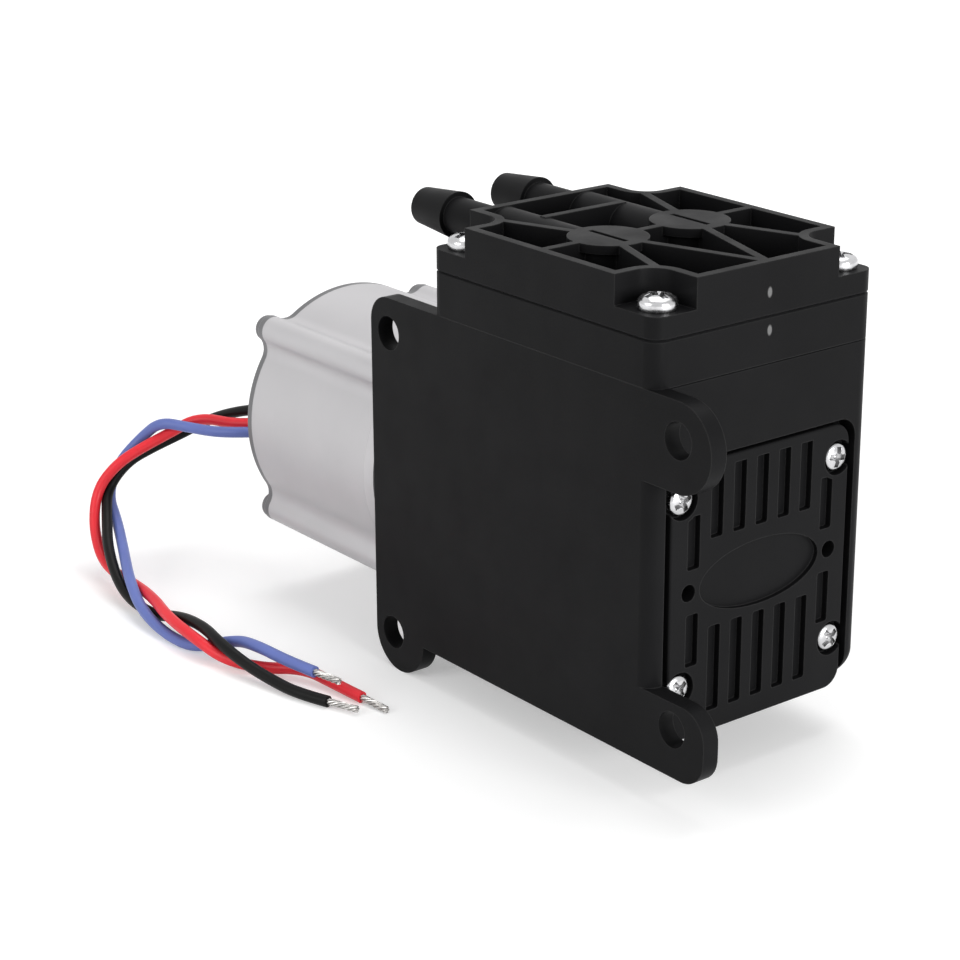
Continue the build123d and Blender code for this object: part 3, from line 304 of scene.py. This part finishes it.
@dataclass(frozen=True)
class MouldedFinish(Finish):
    """Moulded plastic with the pale scars where it was gated."""

    scars: tuple[tuple[float, float, float], ...] = ()
    scar_size: tuple[float, float, float] = (0.5 * MM, 0.45 * MM, 0.8 * MM)
    scar_colour: tuple[float, float, float] = (0.16, 0.16, 0.16)

    def marked(self, graph: Graph, place: bpy.types.NodeSocket, colour: bpy.types.NodeSocket
               ) -> bpy.types.NodeSocket:
        """Paints a soft oval at each gate.

        Args:
            graph: The tree to fill.
            place: The coordinates to read.
            colour: The colour round the scars.

        Returns:
            The colour output.
        """
        for scar in self.scars:
            away = graph.add("ShaderNodeVectorMath", {0: place, 1: scar}, operation="SUBTRACT")
            scaled = graph.add("ShaderNodeVectorMath", {0: away.outputs[0], 1: self.scar_size}, operation="DIVIDE")
            length = graph.add("ShaderNodeVectorMath", {0: scaled.outputs[0]}, operation="LENGTH")
            share = graph.add("ShaderNodeMapRange", {
                "Value": length.outputs["Value"], "From Min": 1.1, "From Max": 0.7})
            mix = graph.add("ShaderNodeMix", {"Factor": share.outputs["Result"], 6: colour,
                                              7: (*self.scar_colour, 1.0)}, data_type="RGBA")
            colour = mix.outputs[2]
        return colour


FINISHES: tuple[Finish, ...] = (
    MouldedFinish(
        Slot.BLACK_MOULDING, (0.0075, 0.0075, 0.008), 0.44, specular=0.055, patch_strength=0.15,
        # painted highlight along the edges
        grain_size=0.28 * MM, grain_depth=0.014 * MM, edge_radius=0.2 * MM, edge_highlight_colour=(0.04, 0.04, 0.04),
        scars=((28.0 * MM, 21.2 * MM, 41.4 * MM), (28.0 * MM, 21.4 * MM, 35.9 * MM))),
    Finish(Slot.MOTOR_GREY, (0.49, 0.482, 0.492), 0.56, metallic=0.9, patch_size=30 * MM, patch_strength=0.03,
           grain_size=0.5 * MM, grain_depth=0.004 * MM, grain_stretch=(0.08, 1.0, 1.0), edge_radius=0.3 * MM),
    Finish(Slot.DARK_PLATE, (0.17, 0.17, 0.175), 0.4, metallic=0.7, grain_depth=0.004 * MM,
           # painted highlight along the edges
           edge_highlight_colour=(0.4, 0.4, 0.4)),
    Finish(Slot.SCREW_STEEL, (0.56, 0.56, 0.57), 0.22, metallic=1.0, patch_size=2 * MM, patch_strength=0.12,
           grain_size=0.25 * MM, grain_depth=0.006 * MM, edge_radius=0.08 * MM,
           # painted shade in the cross recesses
           painted_shade_colour=(0.2, 0.2, 0.2)),
    Finish(Slot.BEARING_STEEL, (0.55, 0.55, 0.56), 0.25, metallic=1.0, grain_depth=0.003 * MM),
    BandedFinish(Slot.LAMINATION, (0.28, 0.28, 0.3), 0.45, metallic=0.8, band=0.5 * MM),
    Finish(Slot.MAGNET, (0.08, 0.08, 0.085), 0.5, metallic=0.6, grain_depth=0.01 * MM),
    BandedFinish(Slot.WINDING, (0.5, 0.17, 0.05), 0.3, metallic=0.6, band=0.6 * MM, band_dark=0.35, coat=0.5),
    Finish(Slot.BOARD_GREEN, (0.015, 0.12, 0.04), 0.3, coat=0.5, patch_size=4 * MM, patch_strength=0.25),
    Finish(Slot.CHIP_BLACK, (0.02, 0.02, 0.02), 0.5),
    Finish(Slot.ALLOY, (0.49, 0.482, 0.492), 0.56, metallic=0.9, grain_stretch=(1.0, 0.1, 1.0), grain_depth=0.004 * MM,
           edge_radius=0.3 * MM),
    Finish(Slot.ROD_PLASTIC, (0.75, 0.75, 0.7), 0.45),
    Finish(Slot.RUBBER_BLACK, (0.012, 0.012, 0.012), 0.6, specular=0.25),
    Finish(Slot.FLAP_RUBBER, (0.25, 0.1, 0.05), 0.6, specular=0.35),
    Finish(Slot.LEAD_RED, (0.78, 0.022, 0.035), 0.42, specular=0.35, patch_size=6 * MM, patch_strength=0.05,
           grain_size=0.4 * MM, grain_depth=0.006 * MM, edge_radius=0.05 * MM),
    Finish(Slot.LEAD_BLACK, (0.005, 0.005, 0.005), 0.42, specular=0.12, patch_size=6 * MM,
           grain_size=0.4 * MM, grain_depth=0.006 * MM, edge_radius=0.05 * MM),
    Finish(Slot.LEAD_BLUE, (0.125, 0.17, 0.46), 0.42, specular=0.35, patch_size=6 * MM, patch_strength=0.05,
           grain_size=0.4 * MM, grain_depth=0.006 * MM, edge_radius=0.05 * MM),
    Finish(Slot.TINNED_COPPER, (0.5, 0.485, 0.47), 0.3, metallic=1.0, patch_size=0.8 * MM, patch_strength=0.3,
           grain_size=0.15 * MM, grain_depth=0.006 * MM, edge_radius=0.03 * MM,
           # painted shade between the strands
           painted_shade_colour=(0.1, 0.095, 0.09), painted_shade_reach=0.5 * MM),
)


class Paintbox:
    """Makes each finish once and dresses nodes and pieces in it."""

    def __init__(self) -> None:
        """Builds the materials."""
        self.materials = {finish.slot: finish.material() for finish in FINISHES}

    def dress(self, piece: bpy.types.Object, slot: Slot) -> None:
        """Gives a piece the material of a slot.

        Args:
            piece: The object to dress.
            slot: Its material slot in the record.
        """
        piece.data.materials.clear()
        piece.data.materials.append(self.materials[slot])

    def dress_frame(self) -> None:
        """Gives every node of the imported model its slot's material."""
        for row in frame["record"]["subparts"]:
            node = frame["nodes"][row["node"]]
            node.data.materials.clear()
            node.data.materials.append(self.materials[Slot(row["material_slot"])])
            log.info("node %s: %s", row["node"], row["material_slot"])


@dataclass(frozen=True)
class Viewpoint:
    """The photograph's camera."""

    place: tuple[float, float, float] = (0.26745, -0.21592, 0.13360)
    right: tuple[float, float, float] = (0.6151, 0.7884, -0.0046)
    down: tuple[float, float, float] = (0.2626, -0.2104, -0.9417)
    ahead: tuple[float, float, float] = (-0.7434, 0.5780, -0.3365)
    sensor_mm: float = 36.0
    lens_mm: float = 93.92

    def build(self) -> None:
        """Makes the camera and gives it to the scene."""
        data = bpy.data.cameras.new("camera")
        data.sensor_width = self.sensor_mm
        data.lens = self.lens_mm
        data.clip_start = 0.01
        camera = bpy.data.objects.new("camera", data)
        axes = (Vector(self.right), -Vector(self.down), -Vector(self.ahead))
        turn = Matrix([axis.normalized() for axis in axes]).transposed().to_4x4()
        camera.matrix_world = Matrix.Translation(self.place) @ turn
        bpy.context.scene.collection.objects.link(camera)
        bpy.context.scene.camera = camera


@dataclass(frozen=True)
class Lamp:
    """One soft rectangular lamp that points at the pump."""

    name: str
    place: tuple[float, float, float]
    size: float
    watts: float

    def build(self, target: Vector) -> None:
        """Makes the lamp.

        Args:
            target: The point it faces.
        """
        data = bpy.data.lights.new(self.name, "AREA")
        data.size = self.size
        data.energy = self.watts
        lamp = bpy.data.objects.new(self.name, data)
        lamp.location = self.place
        lamp.rotation_euler = (target - Vector(self.place)).to_track_quat("-Z", "Y").to_euler()
        bpy.context.scene.collection.objects.link(lamp)


def seen_plainly(graph: Graph) -> bpy.types.NodeSocket:
    """1 for rays that show the surroundings: those of the camera, of a reflection or through glass.

    Args:
        graph: The tree to fill.

    Returns:
        The output that holds 0 or 1.
    """
    path = graph.add("ShaderNodeLightPath")
    direct = graph.add("ShaderNodeMath", {
        0: path.outputs["Is Camera Ray"], 1: path.outputs["Is Glossy Ray"]}, operation="MAXIMUM")
    shown = graph.add("ShaderNodeMath", {
        0: direct.outputs[0], 1: path.outputs["Is Transmission Ray"]}, operation="MAXIMUM")
    return shown.outputs[0]


@dataclass
class Studio:
    """Pale floor, white surroundings and soft lamps."""

    floor_size: float = 3.0
    floor_grey: float = 0.8
    floor_glow: float = 0.32
    far_glow: float = 0.75
    sky_light: float = 0.4
    lamps: tuple[Lamp, ...] = (
        Lamp("top_lamp", (-0.1, 0.15, 0.6), 0.45, 2.0),
        Lamp("cover_lamp", (0.6, 0.05, 0.15), 0.3, 3.0),
        Lamp("plate_lamp", (-0.05, -0.55, 0.25), 0.35, 1.3),
    )

    def build(self) -> None:
        """Makes the floor, the world and the lamps."""
        self.make_floor()
        self.make_world()
        for lamp in self.lamps:
            lamp.build(Vector((0, 0.02, 0.01)))
        bpy.context.scene.view_settings.view_transform = "Standard"

    def make_floor(self) -> None:
        """Lays the floor under the lowest point of the part."""
        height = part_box("crankcase")[0].z
        mesh = bpy.data.meshes.new("floor")
        half = self.floor_size / 2
        corners = [(-half, -half, height), (half, -half, height), (half, half, height), (-half, half, height)]
        mesh.from_pydata(corners, [], [(0, 1, 2, 3)])
        floor = bpy.data.objects.new("floor", mesh)
        bpy.context.scene.collection.objects.link(floor)
        material = bpy.data.materials.new("floor_white")
        material.use_nodes = True
        graph = Graph(material.node_tree)
        shader = material.node_tree.nodes["Principled BSDF"]
        shader.inputs["Base Color"].default_value = grey(self.floor_grey)
        shader.inputs["Roughness"].default_value = 0.9
        output = material.node_tree.nodes["Material Output"]
        glow = graph.add("ShaderNodeEmission", {"Color": grey(1.0)})
        place = graph.add("ShaderNodeTexCoord").outputs["Object"]
        away = graph.add("ShaderNodeVectorMath", {0: place}, operation="LENGTH")
        level = graph.add("ShaderNodeMapRange", {
            "Value": away.outputs["Value"], "From Min": 0.15, "From Max": 0.6,
            "To Min": self.floor_glow, "To Max": self.far_glow})
        extra = graph.add("ShaderNodeMath", {0: seen_plainly(graph), 1: level.outputs[0]}, operation="MULTIPLY")
        graph.link(extra.outputs[0], glow.inputs["Strength"])
        both = graph.add("ShaderNodeAddShader", {0: shader.outputs[0], 1: glow.outputs[0]})
        graph.link(both.outputs[0], output.inputs["Surface"])
        mesh.materials.append(material)

    def make_world(self) -> None:
        """Gives white surroundings to the camera, and softer ones to the surfaces."""
        world = bpy.data.worlds.new("studio")
        world.use_nodes = True
        graph = Graph(world.node_tree)
        background = world.node_tree.nodes["Background"]
        background.inputs["Color"].default_value = grey(1.0)
        strength = graph.add("ShaderNodeMix", {"Factor": seen_plainly(graph), 2: self.sky_light, 3: 1.0})
        graph.link(strength.outputs[0], background.inputs["Strength"])
        bpy.context.scene.world = world


def link_object(name: str, data: bpy.types.ID) -> bpy.types.Object:
    """Makes an object of the data and puts it in the scene."""
    piece = bpy.data.objects.new(name, data)
    bpy.context.scene.collection.objects.link(piece)
    return piece


class GeometryTree(Graph):
    """A Geometry Nodes tree with named inputs, which ends in realized, painted geometry."""

    def __init__(self, name: str) -> None:
        """Makes the tree with its geometry sockets.

        Args:
            name: Name of the tree.
        """
        super().__init__(bpy.data.node_groups.new(name, "GeometryNodeTree"))
        self.tree.interface.new_socket("Geometry", in_out="INPUT", socket_type="NodeSocketGeometry")
        self.tree.interface.new_socket("Geometry", in_out="OUTPUT", socket_type="NodeSocketGeometry")
        self.entry = self.tree.nodes.new("NodeGroupInput")
        self.exit = self.tree.nodes.new("NodeGroupOutput")

    def size(self, name: str, kind: str = "NodeSocketFloat") -> bpy.types.NodeSocket:
        """Adds a named input.

        Args:
            name: Name of the input.
            kind: Type of its socket.

        Returns:
            The output of the group's input node.
        """
        self.tree.interface.new_socket(name, in_out="INPUT", socket_type=kind)
        return self.entry.outputs[name]

    def end(self, geometry: bpy.types.NodeSocket) -> None:
        """Realizes the instances and sets the material."""
        real = self.add("GeometryNodeRealizeInstances", {"Geometry": geometry})
        painted = self.add("GeometryNodeSetMaterial", {
            "Geometry": real.outputs[0], "Material": self.size("Material", "NodeSocketMaterial")})
        self.link(painted.outputs[0], self.exit.inputs[0])


def grown(name: str, base: bpy.types.Mesh, tree: GeometryTree, values: dict[str, object]) -> bpy.types.Object:
    """Runs a tree on a mesh and keeps the result as a plain mesh.

    Args:
        name: Name of the new piece.
        base: The mesh that the tree starts from.
        tree: The tree to run.
        values: Values of its inputs by name.

    Returns:
        The finished piece, with no modifier left.
    """
    source = link_object(name + "_source", base)
    modifier = source.modifiers.new("grow", "NODES")
    modifier.node_group = tree.tree
    sockets = {item.name: item.identifier for item in tree.tree.interface.items_tree if item.in_out == "INPUT"}
    for key, value in values.items():
        modifier[sockets[key]] = value
    evaluated = source.evaluated_get(bpy.context.evaluated_depsgraph_get())
    mesh = bpy.data.meshes.new_from_object(evaluated)
    source.modifiers.remove(modifier)
    bpy.data.objects.remove(source)
    return link_object(name, mesh)


@dataclass
class ScrewSet:
    """A rectangle of pan-head screws with cross recesses, made on a grid of points."""

    name: str
    replaces: str
    spacing: tuple[float, float]
    centre: tuple[float, float, float]
    tilt: tuple[float, float, float]
    head_radius: float
    head_height: float
    shank_radius: float
    shank_length: float
    recess_reach: float
    recess_width: float
    recess_depth: float
    segments: int = 40
    seed: int = 5

    def profile(self) -> list[tuple[float, float]]:
        """Half outline of a screw, from the top of its head to the end of its shank."""
        top, radius = self.head_height, self.head_radius
        edge = top * 0.42
        arc = [(radius * math.sin(a), edge + (top - edge) * math.cos(a) ** 0.8)
               for a in (math.radians(step) for step in (0, 15, 30, 45, 58, 70, 80, 88))]
        rim = [(radius, edge * 0.85), (radius, edge * 0.2), (radius * 0.985, 0.0)]
        tip = self.shank_radius * 0.3
        shank = [(self.shank_radius, 0.0), (self.shank_radius, tip - self.shank_length),
                 (self.shank_radius - tip, -self.shank_length), (0.0, -self.shank_length)]
        return arc + rim + shank

    def blank(self) -> bpy.types.Mesh:
        """One screw without its recess, turned about Z.

        Returns:
            A closed mesh.
        """
        shape = bmesh.new()
        outline = [shape.verts.new((x, 0, z)) for x, z in self.profile()]
        edges = [shape.edges.new(pair) for pair in zip(outline, outline[1:])]
        bmesh.ops.spin(shape, geom=outline + edges, cent=(0, 0, 0), axis=(0, 0, 1), angle=math.tau,
                       steps=self.segments, use_duplicate=False)
        bmesh.ops.remove_doubles(shape, verts=shape.verts, dist=self.head_radius * 1e-4)
        bmesh.ops.recalc_face_normals(shape, faces=shape.faces)
        mesh = bpy.data.meshes.new(self.name + "_blank")
        shape.to_mesh(mesh)
        shape.free()
        return mesh

    @staticmethod
    def tree() -> GeometryTree:
        """The tree that cuts the cross recess and sets a screw on each point of a grid."""
        tree = GeometryTree("screw_grid")
        reach, width, depth = tree.size("Recess reach"), tree.size("Recess width"), tree.size("Recess depth")
        top = tree.size("Head height")
        long_side = tree.add("ShaderNodeMath", {0: reach, 1: 2.0}, operation="MULTIPLY").outputs[0]
        tall = tree.add("ShaderNodeMath", {0: depth, 1: 2.0}, operation="MULTIPLY").outputs[0]
        raised = tree.add("ShaderNodeCombineXYZ", {"Z": top}).outputs[0]
        cutters = []
        for first, second in ((long_side, width), (width, long_side)):
            size = tree.add("ShaderNodeCombineXYZ", {"X": first, "Y": second, "Z": tall}).outputs[0]
            bar = tree.add("GeometryNodeMeshCube", {"Size": size}).outputs[0]
            cutters.append(tree.add("GeometryNodeTransform", {"Geometry": bar, "Translation": raised}).outputs[0])
        half_reach = tree.add("ShaderNodeMath", {0: reach, 1: 0.55}, operation="MULTIPLY").outputs[0]
        pit = tree.add("GeometryNodeMeshCone", {
            "Vertices": 16, "Radius Top": half_reach, "Radius Bottom": 0.0, "Depth": tall}, fill_type="NGON")
        low = tree.add("ShaderNodeMath", {0: top, 1: tall}, operation="SUBTRACT").outputs[0]
        sunk = tree.add("ShaderNodeCombineXYZ", {"Z": low}).outputs[0]
        cutters.append(tree.add("GeometryNodeTransform", {
            "Geometry": pit.outputs[0], "Translation": sunk}).outputs[0])
        cut = tree.add("GeometryNodeMeshBoolean", {"Mesh 1": tree.entry.outputs["Geometry"]},
                       operation="DIFFERENCE", solver="EXACT")
        for cutter in cutters:
            tree.link(cutter, cut.inputs["Mesh 2"])
        grid = tree.add("GeometryNodeMeshGrid", {
            "Size X": tree.size("Spacing X"), "Size Y": tree.size("Spacing Y"), "Vertices X": 2, "Vertices Y": 2})
        turn = tree.add("FunctionNodeRandomValue", {"Min": (0, 0, 0), "Max": (0, 0, math.pi / 2)},
                        data_type="FLOAT_VECTOR")
        seed = tree.size("Seed", "NodeSocketInt")
        for socket in turn.inputs:
            if socket.name == "Seed":
                tree.link(seed, socket)
        placed = tree.add("GeometryNodeInstanceOnPoints", {
            "Points": grid.outputs[0], "Instance": cut.outputs[0], "Rotation": turn.outputs[0]})
        whole = tree.add("GeometryNodeTransform", {
            "Geometry": placed.outputs[0], "Translation": tree.size("Centre", "NodeSocketVector"),
            "Rotation": tree.size("Tilt", "NodeSocketVector")})
        tree.end(whole.outputs[0])
        return tree

    def build(self, tree: GeometryTree, paint: Paintbox) -> bpy.types.Object:
        """Makes the screws and puts them in place of the plain ones.

        Args:
            tree: The shared tree for screws.
            paint: Where the finish comes from.

        Returns:
            The finished piece.
        """
        piece = grown(self.name, self.blank(), tree, {
            "Recess reach": self.recess_reach, "Recess width": self.recess_width,
            "Recess depth": self.recess_depth, "Head height": self.head_height,
            "Spacing X": self.spacing[0], "Spacing Y": self.spacing[1], "Seed": self.seed,
            "Centre": self.centre, "Tilt": self.tilt, "Material": paint.materials[Slot.SCREW_STEEL]})
        smooth(piece)
        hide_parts(self.replaces)
        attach(piece, BODY)
        log.info("screws %s: %d faces", self.name, len(piece.data.polygons))
        return piece


def smooth(piece: bpy.types.Object, angle: float = math.radians(32)) -> None:
    """Shades a mesh smooth but for its sharp edges.

    Args:
        piece: The object to shade.
        angle: Edges sharper than this stay sharp.
    """
    shape = bmesh.new()
    shape.from_mesh(piece.data)
    for face in shape.faces:
        face.smooth = True
    for edge in shape.edges:
        edge.smooth = len(edge.link_faces) == 2 and edge.calc_face_angle(0.0) < angle
    shape.to_mesh(piece.data)
    shape.free()


@dataclass
class Lead:
    """One insulated lead along its route, with a bare end of twisted strands."""

    colour: str
    slot: Slot
    route: list[tuple[float, float, float]]
    diameter: float = 1.9 * MM
    bare_length: float = 5.5 * MM
    bare_radius: float = 0.58 * MM
    strand_radius: float = 0.2 * MM
    strand_turns: float = 0.9

    def points(self) -> list[Vector]:
        """The route in metres."""
        return [Vector(point) * MM for point in self.route]

    def build(self, tree: GeometryTree, paint: Paintbox) -> None:
        """Args:
            tree: The shared tree for strands.
            paint: Where the finishes come from.
        """
        points = self.points()
        curve = bpy.data.curves.new(f"{self.colour}_jacket", "CURVE")
        curve.dimensions = "3D"
        curve.resolution_u = 10
        curve.bevel_depth = 1.0
        curve.bevel_resolution = 5
        curve.use_fill_caps = True
        spline = curve.splines.new("NURBS")
        spline.points.add(len(points) - 1)
        for control, point in zip(spline.points, points):
            control.co = (*point, 1.0)
            control.radius = self.diameter / 2
        spline.order_u = 3
        spline.use_endpoint_u = True
        jacket = link_object(f"{self.colour}_jacket", curve)
        paint.dress(jacket, self.slot)
        strands = self.strands(tree, paint)
        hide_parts(f"{self.colour}_lead")
        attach(jacket, BODY)
        length = self.length(jacket)
        log.info("lead %s: %.1f mm", self.colour, length / MM)

    @staticmethod
    def length(jacket: bpy.types.Object) -> float:
        """The length of a jacket's centre line."""
        depth = jacket.data.bevel_depth
        jacket.data.bevel_depth = 0.0
        line = bpy.data.meshes.new_from_object(jacket.evaluated_get(bpy.context.evaluated_depsgraph_get()))
        jacket.data.bevel_depth = depth
        total = sum((line.vertices[e.vertices[0]].co - line.vertices[e.vertices[1]].co).length
                    for e in line.edges)
        bpy.data.meshes.remove(line)
        return total

    @staticmethod
    def strand_tree() -> GeometryTree:
        """The tree that winds strands round a middle one and lays them along an axis."""
        tree = GeometryTree("bare_strands")
        radius, height, turns = tree.size("Radius"), tree.size("Length"), tree.size("Turns")
        thick = tree.size("Strand radius")
        coil = tree.add("GeometryNodeCurveSpiral", {
            "Resolution": 24, "Rotations": turns, "Start Radius": radius, "End Radius": radius,
            "Height": height})
        ring = tree.add("GeometryNodeMeshCircle", {"Vertices": 6, "Radius": 0.0})
        index = tree.add("GeometryNodeInputIndex").outputs[0]
        angle = tree.add("ShaderNodeMath", {0: index, 1: math.tau / 6}, operation="MULTIPLY").outputs[0]
        turn = tree.add("ShaderNodeCombineXYZ", {"Z": angle}).outputs[0]
        wound = tree.add("GeometryNodeInstanceOnPoints", {
            "Points": ring.outputs[0], "Instance": coil.outputs[0], "Rotation": turn})
        wound = tree.add("GeometryNodeRealizeInstances", {"Geometry": wound.outputs[0]})
        end = tree.add("ShaderNodeCombineXYZ", {"Z": height}).outputs[0]
        middle = tree.add("GeometryNodeCurvePrimitiveLine", {"End": end})
        both = tree.add("GeometryNodeJoinGeometry")
        tree.link(wound.outputs[0], both.inputs[0])
        tree.link(middle.outputs[0], both.inputs[0])
        section = tree.add("GeometryNodeCurvePrimitiveCircle", {"Resolution": 8, "Radius": thick})
        wires = tree.add("GeometryNodeCurveToMesh", {
            "Curve": both.outputs[0], "Profile Curve": section.outputs[0], "Fill Caps": True})
        whole = tree.add("GeometryNodeTransform", {
            "Geometry": wires.outputs[0], "Translation": tree.size("Start", "NodeSocketVector"),
            "Rotation": tree.size("Tilt", "NodeSocketVector")})
        tree.end(whole.outputs[0])
        return tree

    def strands(self, tree: GeometryTree, paint: Paintbox) -> bpy.types.Object:
        """Makes the bare end.

        Args:
            tree: The shared tree for strands.
            paint: Where the finish comes from.

        Returns:
            The finished piece.
        """
        points = self.points()
        ahead = (points[-1] - points[-2]).normalized()
        tilt = ahead.to_track_quat("Z", "Y").to_euler()
        empty = bpy.data.meshes.new("strand_base")
        piece = grown(f"{self.colour}_strands", empty, tree, {
            "Radius": self.bare_radius - self.strand_radius, "Length": self.bare_length,
            "Turns": self.strand_turns, "Strand radius": self.strand_radius,
            "Start": points[-1], "Tilt": Vector(tilt), "Material": paint.materials[Slot.TINNED_COPPER]})
        smooth(piece)
        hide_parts(f"{self.colour}_conductor")
        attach(piece, BODY)
        return piece


RED_ROUTE = [
    (-75.1, 9.6, -2.6), (-80.0, 9.6, -2.6), (-86.5, 6.0, -4.5), (-95.0, 3.0, -4.5),
    (-98.0, -1.5, -7.5), (-99.5, -6.0, -9.5), (-101.0, -10.5, -12.0), (-102.5, -14.0, -16.5),
    (-100.0, -16.5, -22.5), (-94.0, -18.0, -27.5), (-83.5, -18.0, -27.5), (-74.0, -20.0, -26.5),
    (-65.0, -22.5, -26.5), (-56.0, -23.0, -27.0), (-50.0, -21.5, -29.0), (-44.0, -18.0, -29.5),
    (-38.0, -14.0, -28.5), (-31.5, -13.0, -29.0), (-25.0, -12.0, -29.5),
]
BLACK_ROUTE = [
    (-75.1, 9.6, -0.5), (-80.0, 9.6, -0.5), (-88.0, 7.5, -2.5), (-95.5, 6.0, -5.5),
    (-99.0, 1.5, -8.5), (-101.0, -3.0, -10.5), (-102.0, -8.0, -12.5), (-102.5, -12.0, -17.0),
    (-98.5, -14.5, -20.5), (-92.5, -18.0, -24.0), (-83.0, -21.0, -28.0), (-74.0, -20.5, -29.5),
    (-65.5, -20.0, -27.0), (-57.5, -20.5, -26.0), (-51.0, -21.5, -26.5), (-44.5, -21.0, -28.0),
    (-38.5, -20.0, -29.0), (-32.5, -19.0, -29.5), (-27.0, -17.0, -29.5),
]
BLUE_ROUTE = [
    (-75.1, 9.6, -4.7), (-80.0, 9.6, -4.7), (-86.0, 2.0, -5.0), (-93.5, 0.0, -5.5),
    (-98.0, -3.0, -5.0), (-102.5, -4.0, -8.5), (-104.0, -8.5, -13.0), (-104.0, -11.0, -18.5),
    (-98.5, -12.5, -21.5), (-91.5, -15.5, -24.0), (-82.0, -20.0, -25.5), (-74.0, -22.5, -28.0),
    (-65.0, -23.0, -29.5), (-57.5, -22.0, -29.5), (-51.5, -18.0, -27.0), (-45.0, -18.0, -26.0),
    (-38.0, -17.0, -26.5), (-32.0, -16.0, -26.5),
]


def make_leads(paint: Paintbox) -> None:
    """Lays the three leads."""
    tree = Lead.strand_tree()
    for lead in (Lead("red", Slot.LEAD_RED, RED_ROUTE), Lead("black", Slot.LEAD_BLACK, BLACK_ROUTE),
                 Lead("blue", Slot.LEAD_BLUE, BLUE_ROUTE)):
        lead.build(tree, paint)


def middle(node: str) -> Vector:
    """The middle of a node's box at rest."""
    low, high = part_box(node)
    return (low + high) / 2


def make_screws(paint: Paintbox) -> None:
    """Makes the screws of the head and of the front cover."""
    tree = ScrewSet.tree()
    low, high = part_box("head_screws")
    head_radius, head_height = 2.8 * MM, 2.2 * MM
    centre = middle("head_screws")
    ScrewSet(
        "head_pan_screws", "head_screws",
        (high.x - low.x - 2 * head_radius, high.y - low.y - 2 * head_radius),
        (centre.x, centre.y, high.z - head_height), (0.0, 0.0, 0.0),
        head_radius, head_height, 1.5 * MM, high.z - head_height - low.z,
        1.95 * MM, 1.0 * MM, 0.8 * MM).build(tree, paint)
    low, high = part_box("front_cover_screws")
    head_radius, head_height = 2.2 * MM, 1.6 * MM
    centre = middle("front_cover_screws")
    ScrewSet(
        "cover_pan_screws", "front_cover_screws",
        (high.z - low.z - 2 * head_radius, high.y - low.y - 2 * head_radius),
        (high.x - head_height, centre.y, centre.z), (0.0, math.pi / 2, 0.0),
        head_radius, head_height, 1.25 * MM, high.x - head_height - low.x,
        1.55 * MM, 0.85 * MM, 0.65 * MM, seed=9).build(tree, paint)


def write_sizes() -> None:
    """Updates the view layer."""
    bpy.context.view_layer.update()


def main() -> None:
    """Builds the scene in order."""
    logging.basicConfig(level=logging.INFO, format="%(name)s: %(message)s")
    Viewpoint().build()
    paint = Paintbox()
    make_leads(paint)
    paint.dress_frame()
    make_screws(paint)
    Studio().build()
    write_sizes()


if __name__ == "__main__":
    main()
